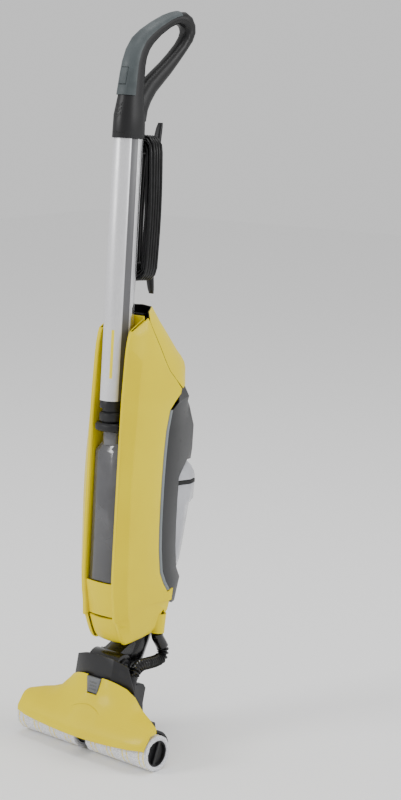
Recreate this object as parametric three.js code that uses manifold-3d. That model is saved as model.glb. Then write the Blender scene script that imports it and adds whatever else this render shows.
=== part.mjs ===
// Upright wet dry floor scrubber: two driven microfibre rollers under a lift-off cover, a tilting and
// swivelling neck, a tall housing with a dirty water tank in front and a fresh water tank behind, and
// an oval tube with a loop handle and two cord hooks. Millimetres, +Z up, the user stands at +Y.
import * as THREE from "three";
import { mergeVertices } from "three/addons/utils/BufferGeometryUtils.js";
import Module from "manifold-3d";

const wasm = await Module();
wasm.setup();

// ---------------------------------------------------------------- driving dimensions
const GAP = 0.3; // clearance between touching pieces
const WALL = 2.6; // moulded shell thickness
const LEAN = 5; // degrees that the upright leans back
const LEAN_FOOT = [20, 80]; // y, z of the point that the lean turns about

const ROLLER_RADIUS = 30;
const ROLLER_INNER_END = 13;
const ROLLER_OUTER_END = 150;
const CORE_RADIUS = 22;
const SHAFT_RADIUS = 5;
const PULL_ANGLE = -24; // degrees that the end caps' pull bars lean towards the rear
const GEAR_MODULE = 1.25;
const SHAFT_GEAR_TEETH = 24;
const PINION_TEETH = 12;
const GEAR_LINE_ANGLE = 6; // degrees, from the roller shaft up to the motor
const GEAR_WIDTH = 8;

const TILT_AXIS = [45, 142]; // y, z of the pin that the neck tilts on
const TILT_BARREL_RADIUS = 18.5;
const NECK_TOP = [108, 172]; // y, z of a point on the neck's own axis
const NECK_LEAN = 30; // degrees that the neck leans back
const NECK_RADIUS = 25;
const HOSE_RADIUS = 10.3;

const TUBE_Y = -2; // centre of the oval tube in the upright's frame
const TUBE_HALF = [20.2, 26.2];
const TUBE_SPAN = [510.5, 962];
const SLEEVE_BOTTOM = 938;
const CHANNEL_HALF = 30;
const CHANNEL_BACK = 27;
const SIDE_HALF = 54;
const TANK_SPAN = [207, 440];

const HOOK_LOW = 731;
const HOOK_HIGH = 921;
const HOOK_ARM_RADIUS = 7;
const CORD_RADIUS = 3;
const HANK_DEPTH = [29.2, 60.3];
const HANK_INNER = 7.5;
const HANK_OUTER = 25.2;
const PLUG_X = -44.5;

// ---------------------------------------------------------------- finishes
function finish(colour, roughness, metalness = 0) {
  return new THREE.MeshStandardMaterial({ color: colour, roughness, metalness });
}
const YELLOW = finish(0xf2e41c, 0.35);
const BLACK = finish(0x17181a, 0.5);
const DARK_GREY = finish(0x38393b, 0.5);
const GREY = finish(0x6e7678, 0.6);
const SILVER = finish(0xc9cacc, 0.35, 0.9);
const STEEL = finish(0x9b9da0, 0.3, 1);
const SMOKE = finish(0x6a6a6c, 0.2);
const CLEAR = finish(0xc4c6ca, 0.15);
const FLEECE = finish(0xe6e6ea, 1);
const RUBBER = finish(0x202022, 0.9);
const BOARD = finish(0x1f6b3a, 0.6);

// ---------------------------------------------------------------- solids
function solidOf(geometry) {
  const bare = new THREE.BufferGeometry().setAttribute("position", geometry.getAttribute("position"));
  if (geometry.index) bare.setIndex(geometry.index);
  const merged = mergeVertices(bare, 1e-4);
  const vertProperties = new Float32Array(merged.attributes.position.array);
  const triVerts = new Uint32Array(merged.index.array);
  return new wasm.Manifold(new wasm.Mesh({ numProp: 3, vertProperties, triVerts }));
}

function geometryOf(solid) {
  const mesh = solid.getMesh();
  return new THREE.BufferGeometry()
    .setAttribute("position", new THREE.BufferAttribute(new Float32Array(mesh.vertProperties), 3))
    .setIndex(new THREE.BufferAttribute(new Uint32Array(mesh.triVerts), 1));
}

function join(...pieces) {
  return geometryOf(pieces.map(solidOf).reduce((whole, piece) => whole.add(piece)));
}

function cut(base, ...tools) {
  return geometryOf(tools.map(solidOf).reduce((rest, tool) => rest.subtract(tool), solidOf(base)));
}

function common(first, second) {
  return geometryOf(solidOf(first).intersect(solidOf(second)));
}

// A straight-sided cylinder with its axis along x, y or z.
function rod(radius, length, axis, centre, sides = 24, endRadius = radius) {
  const body = new THREE.CylinderGeometry(endRadius, radius, length, sides);
  if (axis === "x") body.rotateZ(-Math.PI / 2);
  if (axis === "z") body.rotateX(Math.PI / 2);
  return body.translate(...centre);
}

function block(size, centre) {
  return new THREE.BoxGeometry(...size).translate(...centre);
}

// A tube section with its axis along x or z.
function ring(outer, inner, length, axis, centre, sides = 32) {
  const half = length / 2;
  const corners = [[inner, -half], [outer, -half], [outer, half], [inner, half], [inner, -half]];
  const body = new THREE.LatheGeometry(corners.map(([r, y]) => new THREE.Vector2(r, y)), sides);
  if (axis === "x") body.rotateZ(-Math.PI / 2);
  if (axis === "z") body.rotateX(Math.PI / 2);
  return body.translate(...centre);
}

// A plate whose outline lies in the y-z plane and whose thickness runs along x.
function plateAcross(outline, thickness, x) {
  const shape = new THREE.Shape(outline.map(([y, z]) => new THREE.Vector2(y, z)));
  const body = new THREE.ExtrudeGeometry(shape, { depth: thickness, bevelEnabled: false });
  return body.rotateY(Math.PI / 2).rotateX(Math.PI / 2).translate(x - thickness / 2, 0, 0);
}

// A closed skin through rings of equal count; each ring is an outline [u, v] and its place in space.
function loft(rings) {
  const count = rings[0].outline.length;
  const positions = rings.flatMap((r) => r.outline.flatMap(([u, v]) => r.at(u, v)));
  const index = [];
  for (let r = 0; r < rings.length - 1; r += 1) {
    for (let i = 0; i < count; i += 1) {
      const a = r * count + i;
      const b = r * count + ((i + 1) % count);
      index.push(a, b, b + count, a, b + count, a + count);
    }
  }
  const flat = (r) => r.outline.map(([u, v]) => new THREE.Vector2(u, v));
  const capOf = (r) => THREE.ShapeUtils.triangulateShape(flat(r), []);
  const turned = (r) => THREE.ShapeUtils.isClockWise(flat(r));
  const last = (rings.length - 1) * count;
  const flip = turned(rings[0]);
  for (const [a, b, c] of capOf(rings[0])) index.push(...(flip ? [a, b, c] : [a, c, b]));
  for (const [a, b, c] of capOf(rings.at(-1))) {
    index.push(...(flip ? [a + last, c + last, b + last] : [a + last, b + last, c + last]));
  }
  return facingOut(positions, index);
}

// Turns every face round if the closed surface is inside out.
function facingOut(positions, index) {
  let volume = 0;
  const point = (i) => new THREE.Vector3().fromArray(positions, 3 * i);
  for (let i = 0; i < index.length; i += 3) {
    volume += point(index[i]).dot(point(index[i + 1]).cross(point(index[i + 2])));
  }
  if (volume < 0) {
    for (let i = 0; i < index.length; i += 3) [index[i], index[i + 1]] = [index[i + 1], index[i]];
  }
  return new THREE.BufferGeometry()
    .setAttribute("position", new THREE.Float32BufferAttribute(positions, 3))
    .setIndex(index);
}

// The closed outline of a sheet of the given thickness that follows an open path.
function thicken(path, thickness) {
  const offset = path.map(([u, v], i) => {
    const before = path[Math.max(i - 1, 0)];
    const after = path[Math.min(i + 1, path.length - 1)];
    const into = new THREE.Vector2(u - before[0], v - before[1]).normalize();
    const away = new THREE.Vector2(after[0] - u, after[1] - v).normalize();
    const along = into.clone().add(away).normalize();
    const normal = new THREE.Vector2(-along.y, along.x);
    const atEnd = i === 0 || i === path.length - 1;
    const stretch = atEnd ? 1 : Math.max(normal.dot(new THREE.Vector2(-away.y, away.x)), 0.5);
    return [u + (normal.x * thickness) / stretch, v + (normal.y * thickness) / stretch];
  });
  return [...path, ...offset.reverse()];
}

// An ellipse outline, or a rounder-cornered one when the power is above 2.
function oval(halfU, halfV, sides, power = 2, centreV = 0) {
  return Array.from({ length: sides }, (_, i) => {
    const angle = (2 * Math.PI * i) / sides;
    const c = Math.cos(angle);
    const s = Math.sin(angle);
    const u = Math.sign(c) * Math.abs(c) ** (2 / power);
    const v = Math.sign(s) * Math.abs(s) ** (2 / power);
    return [halfU * u, centreV + halfV * v];
  });
}

// A smooth value through a few [position, value] knots.
function through(knots, position) {
  const last = knots.length - 1;
  if (position <= knots[0][0]) return knots[0][1];
  if (position >= knots[last][0]) return knots[last][1];
  const k = knots.findIndex(([p]) => p > position) - 1;
  const slope = (i) => {
    const a = Math.max(i - 1, 0);
    const b = Math.min(i + 1, last);
    return (knots[b][1] - knots[a][1]) / (knots[b][0] - knots[a][0]);
  };
  const width = knots[k + 1][0] - knots[k][0];
  const t = (position - knots[k][0]) / width;
  const rise = knots[k + 1][1] - knots[k][1];
  const start = slope(k) * width;
  const end = slope(k + 1) * width;
  return knots[k][1] + t * (start + t * (3 * rise - 2 * start - end + t * (start + end - 2 * rise)));
}

function mirrored(halfPath) {
  return [...halfPath, ...halfPath.slice().reverse().filter(([u]) => u > 0.01).map(([u, v]) => [-u, v])];
}

// A level ring whose height may rise with v.
function level(outline, z, rise = 0) {
  return { outline, at: (u, v) => [u, v, z + rise * v] };
}

function steps(from, to, count) {
  return Array.from({ length: count + 1 }, (_, i) => from + ((to - from) * i) / count);
}

// ---------------------------------------------------------------- scene graph
const machine = new THREE.Group();
const head = new THREE.Group();
const upright = new THREE.Group();
upright.position.set(0, ...LEAN_FOOT);
upright.rotation.x = THREE.MathUtils.degToRad(-LEAN);
machine.add(head, upright);

function add(group, name, geometry, material) {
  const mesh = new THREE.Mesh(geometry, material.clone());
  mesh.name = name;
  group.add(mesh);
  return mesh;
}

// ---------------------------------------------------------------- rollers and their drive
// A spur gear about the x axis with a tooth pointing at the given angle.
function gear(teeth, centre, toothAngle, boreRadius) {
  const pitch = (teeth * GEAR_MODULE) / 2;
  const root = pitch - 1.35 * GEAR_MODULE;
  const tip = pitch + 0.9 * GEAR_MODULE;
  const step = (2 * Math.PI) / teeth;
  const outline = [];
  for (let tooth = 0; tooth < teeth; tooth += 1) {
    const middle = toothAngle + tooth * step;
    for (const [radius, share] of [[root, -0.27], [tip, -0.09], [tip, 0.09], [root, 0.27]]) {
      const angle = middle + share * step;
      outline.push([centre[0] + radius * Math.cos(angle), centre[1] + radius * Math.sin(angle)]);
    }
  }
  const wheel = plateAcross(outline, GEAR_WIDTH, 0);
  return boreRadius ? cut(wheel, rod(boreRadius, 20, "x", [0, ...centre], 16)) : wheel;
}

const GEAR_LINE = THREE.MathUtils.degToRad(GEAR_LINE_ANGLE);
const IDLER_DISTANCE = SHAFT_GEAR_TEETH * GEAR_MODULE;
const MOTOR_DISTANCE = IDLER_DISTANCE + ((SHAFT_GEAR_TEETH + PINION_TEETH) * GEAR_MODULE) / 2;

function onGearLine(distance) {
  return [distance * Math.cos(GEAR_LINE), ROLLER_RADIUS + distance * Math.sin(GEAR_LINE)];
}

function addDrive() {
  const toothStep = (2 * Math.PI) / SHAFT_GEAR_TEETH;
  const shaftCentre = [0, ROLLER_RADIUS];
  add(head, "roller_shaft", join(
    rod(SHAFT_RADIUS, 270, "x", [0, ...shaftCentre], 16),
    gear(SHAFT_GEAR_TEETH, shaftCentre, GEAR_LINE, 0),
  ), STEEL);
  const idler = gear(SHAFT_GEAR_TEETH, onGearLine(IDLER_DISTANCE), GEAR_LINE + toothStep / 2, 2.8);
  add(head, "idler_gear", idler, BLACK);
  add(head, "motor_pinion", join(
    gear(PINION_TEETH, onGearLine(MOTOR_DISTANCE), GEAR_LINE + Math.PI, 0),
    rod(2, 22, "x", [11, ...onGearLine(MOTOR_DISTANCE)], 12),
  ), STEEL);
  add(head, "drive_motor", cut(
    rod(12.5, 56, "x", [42, ...onGearLine(MOTOR_DISTANCE)], 24),
    rod(2.4, 24, "x", [14, ...onGearLine(MOTOR_DISTANCE)], 12),
  ), STEEL);
  for (const [side, name] of [[-1, "left"], [1, "right"]]) {
    const bearing = ring(8.6, SHAFT_RADIUS + GAP, 2.6, "x", [side * 11.2, ...shaftCentre], 24);
    add(head, `${name}_roller_bearing`, bearing, STEEL);
  }
}

// The narrow black arm between the rollers, hollow for the gears and open at its rear end.
function addGearboxHousing() {
  const along = (distance, aside) => {
    const [y, z] = onGearLine(distance);
    return [y - aside * Math.sin(GEAR_LINE), z + aside * Math.cos(GEAR_LINE)];
  };
  const armOutline = (radius, reach) => {
    const round = steps(90, 270, 12).map((degrees) => {
      const angle = THREE.MathUtils.degToRad(degrees) + GEAR_LINE;
      return [radius * Math.cos(angle), ROLLER_RADIUS + radius * Math.sin(angle)];
    });
    return [...round, along(reach, -radius), along(reach, radius)];
  };
  const shell = plateAcross(armOutline(20.5, 60), 2 * ROLLER_INNER_END - 1, 0);
  const cavity = plateAcross(armOutline(17.6, 70), 2 * ROLLER_INNER_END - 6.4, 0);
  const hollow = cut(shell, cavity,
    rod(8.9, 40, "x", [0, 0, ROLLER_RADIUS], 24),
    rod(2.8, 20, "x", [12, ...onGearLine(MOTOR_DISTANCE)], 12),
  );
  const idlerPin = rod(2.5, 24, "x", [0, ...onGearLine(IDLER_DISTANCE)], 12);
  add(head, "gearbox_housing", join(hollow, idlerPin), BLACK);
}

function addRoller(side, name) {
  const middle = (from, to) => [(side * (from + to)) / 2, 0, ROLLER_RADIUS];
  const capStart = ROLLER_OUTER_END - 9;
  const coreLength = capStart - GAP - ROLLER_INNER_END;
  const coreCentre = middle(ROLLER_INNER_END, capStart - GAP);
  const core = ring(CORE_RADIUS, SHAFT_RADIUS + GAP, coreLength, "x", coreCentre, 32);
  add(head, `${name}_roller_core`, core, GREY);
  const pileLength = ROLLER_OUTER_END - ROLLER_INNER_END;
  const pileCentre = middle(ROLLER_INNER_END, ROLLER_OUTER_END);
  const pile = ring(ROLLER_RADIUS, CORE_RADIUS + GAP, pileLength, "x", pileCentre, 40);
  add(head, `${name}_roller_sleeve`, pile, FLEECE);
  const cap = cut(
    rod(CORE_RADIUS, 8, "x", middle(capStart, capStart + 8), 32),
    rod(CORE_RADIUS - 2.2, 7, "x", [side * (capStart + 6), 0, ROLLER_RADIUS], 32),
  );
  const pull = block([6, 5, 2 * CORE_RADIUS - 4.6], [0, 0, 0]);
  pull.rotateX(THREE.MathUtils.degToRad(PULL_ANGLE)).translate(side * (capStart + 4.6), 0, ROLLER_RADIUS);
  const bore = rod(SHAFT_RADIUS + GAP, 2 * (ROLLER_OUTER_END - 15), "x", [0, 0, ROLLER_RADIUS], 16);
  add(head, `${name}_roller_end_cap`, cut(join(cap, pull), bore), BLACK);
}

// ---------------------------------------------------------------- roller cover and its latch
const LATCH_HALF = [11.5, 17.7]; // half width of the latch's slot at its foot and at its top

// A block along y whose half width grows from its foot to its top.
function taper([footHalf, topHalf], [low, high], [front, rear]) {
  const corners = [[-footHalf, low], [footHalf, low], [topHalf, high], [-topHalf, high]];
  const shape = new THREE.Shape(corners.map(([x, z]) => new THREE.Vector2(x, z)));
  const body = new THREE.ExtrudeGeometry(shape, { depth: rear - front, bevelEnabled: false });
  return body.rotateX(Math.PI / 2).translate(0, rear, 0);
}

// Height and depth of the cover's rear edge against the distance from the middle.
const COVER_EDGE_Y = [[0, 9], [31, 10], [73, 25], [84, 26], [104, 20], [128, 9], [146, 0]];
const COVER_EDGE_Z = [[0, 125], [31, 124.5], [56, 116], [73, 106], [84, 91], [104, 82], [128, 78],
  [146, 73]];
const COVER_HALF = 148;

function coverPath(x) {
  const reach = Math.abs(x);
  const edge = new THREE.Vector2(through(COVER_EDGE_Y, reach), through(COVER_EDGE_Z, reach));
  const endFade = through([[120, 0], [COVER_HALF, 1]], reach);
  const bow = Math.cos((Math.PI / 2) * (reach / COVER_HALF));
  const brow = new THREE.Vector2(-24 + 4 * endFade, 64);
  const swell = through([[0, -7], [60, -5], [90, 2], [146, 3]], reach);
  const outward = new THREE.Vector2(brow.y - edge.y, edge.x - brow.x).normalize();
  const between = (share, bulge) =>
    brow.clone().lerp(edge, share).addScaledVector(outward, bulge).toArray();
  return [
    [-37 - 3.5 * bow + 5.5 * endFade, 42 - 9 * bow],
    [-35.5 - 2.5 * bow + 5 * endFade, 50 - 4 * bow],
    brow.toArray(),
    between(0.35, swell),
    between(0.7, 0.8 * swell),
    edge.toArray(),
  ];
}

function addRollerCover() {
  const stations = [-COVER_HALF, ...steps(-138, 138, 18), COVER_HALF];
  const shell = loft(stations.map((x) => ({
    outline: thicken(coverPath(x), -WALL),
    at: (y, z) => [x, y, z],
  })));
  const cheeks = [-1, 1].map((side) => {
    const x = side * (COVER_HALF - 1.5);
    const path = coverPath(x);
    const outline = [...path.map(([y, z]) => [y + 0.6, z - 1]), [path.at(-1)[0], 63], [-14, 62.5]];
    return plateAcross(outline, 3, x);
  });
  const slot = taper(LATCH_HALF, [96, 130], [-8, 30]);
  add(head, "roller_cover", cut(join(shell, ...cheeks), slot), YELLOW);
  const edge = coverPath(0);
  const slab = plateAcross([[edge[4][0] - 4.2, 94], [edge[5][0] - 2.8, 124], [edge[5][0] + 2, 124],
    [edge[4][0] + 2, 94]], 60, 0);
  const button = taper([LATCH_HALF[0], LATCH_HALF[1] - 1.6], [98.4, 123.4], [-20, 40]);
  add(head, "cover_latch", common(slab, button), GREY);
}

// ---------------------------------------------------------------- head chassis
// The rear glides lie far enough back for the machine's weight to fall between them and the rollers.
const GLIDE_X = 20;
const GLIDE_Y = 112;
const YOKE_LOW = [[71, 31, 102], [31, 14.6, 120], [0, 13.6, 121]];
const YOKE_HIGH = [[58, 28, 148], [31, 23, 157], [0, 22.4, 158]];

// The faceted collar in front of the tilt joint.
function addYoke() {
  const full = (points) => [...points, ...points.slice(0, -1).reverse().map(([x, y, z]) => [-x, y, z])];
  const ringOf = (points, drop) => {
    const path = full(points);
    const outline = thicken(path.map(([x, y]) => [x, y]), -WALL);
    const heights = [...path, ...path.slice().reverse()].map((p) => p[2] + drop);
    const places = outline.map(([x, y], i) => [x, y, heights[i]]);
    return { outline, at: (u, v) => places[outline.findIndex(([a, b]) => a === u && b === v)] };
  };
  add(head, "neck_yoke", loft([ringOf(YOKE_LOW, 0), ringOf(YOKE_HIGH, 0)]), DARK_GREY);
}

function addChassis() {
  const aroundRoller = (degrees, radius) => {
    const angle = THREE.MathUtils.degToRad(degrees);
    return [radius * Math.cos(angle), ROLLER_RADIUS + radius * Math.sin(angle)];
  };
  const guard = plateAcross([
    ...steps(-6, 78, 9).map((degrees) => aroundRoller(degrees, ROLLER_RADIUS + 2.4)),
    ...steps(78, -6, 7).map((degrees) => aroundRoller(degrees, ROLLER_RADIUS + 6.5)),
  ], 284, 0);
  const nose = [-4, 20, 45, 70].map((degrees) => aroundRoller(degrees, 34));
  const back = [[14, 64], [40, 58], [58, 54], [68, 44], [68.4, 30], [62, 8], [56, 6], [36, 8]];
  const body = plateAcross([...nose, ...back], 156, 0);
  const tailEnd = GLIDE_Y + 9.3;
  const tail = plateAcross([[50, 6], [tailEnd, 4], [tailEnd + 4, 8], [tailEnd + 3, 18], [80, 32],
    [56, 50], [50, 50]], 60, 0);
  const towerOutline = [[38, 50], [60, 50], [60, 79], [67, 104], [62, 112], [47, 116], [34, 108], [36, 70]];
  const towers = [-1, 1].map((side) => plateAcross(towerOutline, 12, side * 56));
  const elbowRoute = [[53.5, 39.6, 104], [53.3, 39.6, 115], [53.1, 42.35, 122.97], [53, 44.75, 126.17]];
  const elbows = [-1, 1].map((side) =>
    sweep(elbowRoute.map(([x, y, z]) => [side * x, y, z]), 9.6, 14, 6));
  const ears = [-1, 1].map((side) => {
    const crown = steps(-10, 190, 8).map((degrees) => {
      const angle = THREE.MathUtils.degToRad(degrees);
      return [TILT_AXIS[0] + 11 * Math.cos(angle), TILT_AXIS[1] + 11 * Math.sin(angle)];
    });
    return plateAcross([...crown, [32, 50], [60, 50]], 4, side * 35.6);
  });
  const motorY = onGearLine(MOTOR_DISTANCE)[0];
  const motorBay = rod(13.4, 64, "x", [44, ...onGearLine(MOTOR_DISTANCE)], 24);
  const motorDoor = block([64, 25, 34], [44, motorY, 17]);
  const armSlot = block([2 * ROLLER_INNER_END + 0.4, 113, 71], [0, 9.5, 40]);
  const pinHoles = rod(4.3, 110, "x", [0, ...TILT_AXIS], 16);
  const glideSeats = [-1, 1].map((side) => rod(8.3, 6, "z", [side * GLIDE_X, GLIDE_Y, 3], 24));
  const whole = join(guard, body, tail, ...towers, ...elbows, ...ears);
  const base = cut(whole, armSlot, motorBay, motorDoor, pinHoles, ...glideSeats);
  add(head, "head_base", base, DARK_GREY);
  add(head, "hinge_pin", rod(4, 77, "x", [0, ...TILT_AXIS], 16), STEEL);
  for (const [side, name] of [[-1, "left"], [1, "right"]]) {
    const glide = rod(8, 5.7, "z", [side * GLIDE_X, GLIDE_Y, 2.85], 24);
    add(head, `${name}_rear_glide`, glide, RUBBER);
    const blade = [[32.4, 13], [35, 13], [33.7, 25.6], [31.2, 25.6]];
    add(head, `${name}_scraper`, plateAcross(blade, 116, side * 80), RUBBER);
  }
}

// ---------------------------------------------------------------- neck and hoses
function addNeck() {
  const lean = THREE.MathUtils.degToRad(NECK_LEAN);
  const onAxis = (distance) =>
    [0, NECK_TOP[0] + distance * Math.sin(lean), NECK_TOP[1] + distance * Math.cos(lean)];
  const tube = new THREE.CylinderGeometry(NECK_RADIUS, NECK_RADIUS, 66, 32);
  tube.rotateX(Math.PI / 2 - lean).translate(...onAxis(-17));
  const root = new THREE.CylinderGeometry(NECK_RADIUS, 17, 16, 32);
  root.rotateX(Math.PI / 2 - lean).translate(...onAxis(-58));
  const barrel = rod(TILT_BARREL_RADIUS, 66, "x", [0, ...TILT_AXIS], 32);
  const web = plateAcross([[40, 125], [66, 113], [98, 150], [84, 174], [48, 159]], 40, 0);
  const duct = new THREE.CylinderGeometry(NECK_RADIUS - 8, NECK_RADIUS - 8, 50, 20);
  duct.rotateX(Math.PI / 2 - lean).translate(...onAxis(0));
  const pinHole = rod(4.3, 110, "x", [0, ...TILT_AXIS], 16);
  add(head, "neck", cut(join(tube, root, barrel, web), duct, pinHole), BLACK);
}

// A hose that follows a list of points, as a plain round sweep.
function sweep(points, radius, sides, count) {
  const route = new THREE.CatmullRomCurve3(points.map((p) => new THREE.Vector3(...p)));
  const shape = new THREE.Shape(oval(radius, radius, sides).map(([u, v]) => new THREE.Vector2(u, v)));
  return new THREE.ExtrudeGeometry(shape, { steps: count, extrudePath: route, bevelEnabled: false });
}

// Each hose runs from the chassis over the neck to a socket under the housing, in two lengths.
const LOWER_HOSE = [[53, 45, 126.5], [52.7, 48, 130.5], [50.8, 57, 136.5], [47.5, 72, 139], [45, 87, 137.2]];
const UPPER_HOSE = [[44.8, 88.3, 137], [41, 115, 134], [39.5, 131, 137], [38.5, 135, 152],
  [37, 124.6, 172], [37, 122.9, 180.4]];

function addHoses() {
  for (const [side, name] of [[-1, "left"], [1, "right"]]) {
    const at = ([x, y, z]) => [side * x, y, z];
    add(head, `${name}_lower_hose`, sweep(LOWER_HOSE.map(at), HOSE_RADIUS, 14, 9), BLACK);
    add(head, `${name}_upper_hose`, sweep(UPPER_HOSE.map(at), HOSE_RADIUS, 14, 13), BLACK);
  }
}

// ---------------------------------------------------------------- housing of the upright
const FRONT_Y = [[93, 17], [111, 5], [141, -7], [171, -16], [200, -20], [250, -21], [500, -20],
  [560, -17.5], [600, -15], [632, -9]];
const CREASE_Y = [[100, 26], [157, 5], [200, -4], [260, -6.5], [380, -8.5], [485, -3], [523, -1],
  [560, 3], [600, 12], [640, 17]];
const SIDE_REAR_Y = [[100, 76], [112, 88], [130, 104], [160, 112], [193, 89], [212, 75], [257, 67],
  [340, 64], [440, 67], [495, 76], [513, 92], [529, 104], [561, 73], [604, 50], [652, 26]];
const SIDE_X = [[100, 40], [130, 47], [170, 52], [220, SIDE_HALF], [500, SIDE_HALF], [560, 52],
  [600, 47], [650, 38]];
const SEAM = { z: 147.5, rise: 0.36 };
const RIM = { z: 631.5, rise: 0.66 };
const CROWN_Y = [[529, 129], [543, 137], [572, 135], [593, 117], [616, 97], [642, 74], [650, 65], [662, 48],
  [668, 33]];
const CROWN_INSET = [[593, 20], [642, 14]];
const CROWN_HEIGHTS = [547, 561, 572, 582, 593, 604, 616, 629, 642];
const SHELL_HEIGHTS = [186, 200, 220, 260, 300, 340, 380, 420, 460, 495, 511];

function railHalf(z, rearZ = z) {
  const front = through(FRONT_Y, z);
  const sideX = through(SIDE_X, z);
  const crease = through(CREASE_Y, z);
  const rear = through(SIDE_REAR_Y, rearZ);
  return [
    [sideX, rear],
    [sideX + 1, (rear + crease) / 2],
    [sideX, crease],
    [CHANNEL_HALF + 9, front + 2],
    [CHANNEL_HALF + 7, front],
    [CHANNEL_HALF + 1.5, front],
    [CHANNEL_HALF, front + 1.5],
  ];
}

// Cross-section path of the main housing: side, rail, channel for the tube and tank, rail, side.
function housingPath(z, rearZ = z) {
  return mirrored([
    ...railHalf(z, rearZ),
    [CHANNEL_HALF, CHANNEL_BACK - 3],
    [CHANNEL_HALF - 3, CHANNEL_BACK],
    [0, CHANNEL_BACK],
  ]);
}

function addHousing() {
  const heights = [168, ...SHELL_HEIGHTS, 522, 530, 545, 561, 580, 600, 618];
  const rings = [
    level(thicken(housingPath(SEAM.z + 12), -WALL), SEAM.z + 0.3, SEAM.rise),
    ...heights.map((z) => level(thicken(housingPath(z), -WALL), z)),
    level(thicken(housingPath(636, 652), -WALL), RIM.z, RIM.rise),
  ];

  const apron = loft([SEAM.z + 0.5, 200, TANK_SPAN[0] - 1].map((z) => {
    const front = through(FRONT_Y, z) + 2;
    const path = mirrored([[CHANNEL_HALF + 1, front + 2], [CHANNEL_HALF - 12, front - 1], [0, front - 2.5]]);
    return level(thicken(path, -WALL), z);
  }));
  add(upright, "main_housing", join(loft(rings), apron), YELLOW);

  const cupOutline = (z, wall) => {
    const rear = through([[96, 96], [112, 104], [126, 112], [137, 127], [148, 147], [200, 150]], z) - wall;
    const rail = railHalf(z).slice(0, 6);
    const front = through(FRONT_Y, z);
    const half = [
      [0, rear],
      [through(SIDE_X, z) - 16 - wall, rear - 3],
      ...rail.map(([x, y]) => [x - wall, y + 0.4 * wall]),
      [CHANNEL_HALF - 1 - wall, front + 3 + wall],
      [CHANNEL_HALF - 13, front + 0.5 + wall],
      [0, front - 1 + wall],
    ];
    return [...half, ...half.slice(1, -1).reverse().map(([x, y]) => [-x, y])];
  };
  const cupHeights = [98, 102, 110, 120, 132];
  const cup = loft([
    ...cupHeights.map((z) => level(cupOutline(z, z < 100 ? 1.5 : 0), z, 0.19)),
    level(cupOutline(SEAM.z, 0), SEAM.z - 0.3, SEAM.rise),
  ]);
  const hollow = loft([
    ...[102, 110, 120, 132].map((z) => level(cupOutline(z, WALL), z - (z === 102 ? 1 : 0), 0.19)),
    level(cupOutline(SEAM.z, WALL), SEAM.z + 1, SEAM.rise),
  ]);
  const frameSeat = plateAcross([[80, 201], [150, 146.5], [190, 146.5], [190, 260], [80, 260]], 140, 0);
  const neckHole = rod(NECK_RADIUS + 1.2, 110, "z", [0, 0, 0], 32);
  neckHole.rotateX(-THREE.MathUtils.degToRad(NECK_LEAN - LEAN)).translate(0, 79.6, 99.3);
  const sockets = [-1, 1].map((side) => rod(12, 34, "z", [side * 37, 93.7, 127.7], 24, 14));
  const bores = [-1, 1].map((side) => rod(10.8, 60, "z", [side * 37, 93.7, 126], 24));
  const shell = cut(cup, hollow);
  add(upright, "bottom_cover", cut(join(shell, ...sockets), frameSeat, neckHole, ...bores), YELLOW);
}

function addRearShell() {
  const crownPath = (z, seamY) => mirrored([
    [through(SIDE_X, z) - 0.5, seamY],
    [through(SIDE_X, z) - 0.6, seamY + 3],
    [through(SIDE_X, z) - 7, seamY + (through(CROWN_Y, z) - seamY) * 0.5],
    [through(SIDE_X, z) - through(CROWN_INSET, z), through(CROWN_Y, z) - 4],
    [0, through(CROWN_Y, z)],
  ]);
  const seamY = (z) => through(SIDE_REAR_Y, z) + 0.8;
  const rings = [
    level(thicken(crownPath(534, 106), WALL), 494.5, 0.34),
    ...CROWN_HEIGHTS.map((z) => level(thicken(crownPath(z, seamY(z)), WALL), z)),
    level(thicken(crownPath(658, 28), WALL), 649.5, 0.34),
  ];
  add(upright, "rear_top_cover", loft(rings), YELLOW);

  const stripPath = (z) => {
    const y = through(SIDE_REAR_Y, z) + 1.4;
    const x = through(SIDE_X, z);
    return [[x, y], [x - 3.4, y + 10.2]];
  };
  for (const [side, name] of [[-1, "left"], [1, "right"]]) {
    const stripRings = SHELL_HEIGHTS.slice(0, -1).map((z) =>
      level(thicken(stripPath(z), WALL).map(([x, y]) => [side * x, y]), z));
    add(upright, `${name}_side_strip`, loft(stripRings), GREY);
  }
}

// The dark rear shell: a dome above, two strips beside the fresh water tank and a foot below it.
const DOME_Y = [[143, 148], [192, 155], [260, 158], [340, 166], [397, 173], [430, 178], [463, 177],
  [482, 172],
  [514, 150], [543, 134]];

function rearFramePath(z) {
  const start = through(SIDE_REAR_Y, Math.min(z, 511)) + 12.4;
  const sideX = through(SIDE_X, z) - 4;
  const rear = through(DOME_Y, z);
  return mirrored([
    [sideX, start],
    [sideX - 13.5, Math.min(start + 48, rear - 9)],
    [sideX - 28, rear - 3],
    [0, rear],
  ]);
}

function addRearFrame() {
  const foot = mirrored([[46.5, 110], [35, 135], [20, 146], [0, 149]]);
  const rings = [
    level(thicken(foot, WALL), 265.4, -0.78),
    ...SHELL_HEIGHTS.slice(1, -1).map((z) => level(thicken(rearFramePath(z), WALL), z)),
    level(thicken(rearFramePath(512), WALL), 488, 0.18),
    level(thicken(rearFramePath(540), WALL), 493.6, 0.34),
  ];
  const windowHalf = [[24, 196], [35.5, 205], [35.5, 374], [27, 402]];
  const windowOutline = [...windowHalf, ...windowHalf.slice().reverse().map(([x, z]) => [-x, z])];
  const shape = new THREE.Shape(windowOutline.map(([x, z]) => new THREE.Vector2(x, z)));
  const opening = new THREE.ExtrudeGeometry(shape, { depth: 160, bevelEnabled: false });
  opening.rotateX(Math.PI / 2).translate(0, 240, 0);
  add(upright, "rear_frame", cut(loft(rings), opening), DARK_GREY);
}

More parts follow.
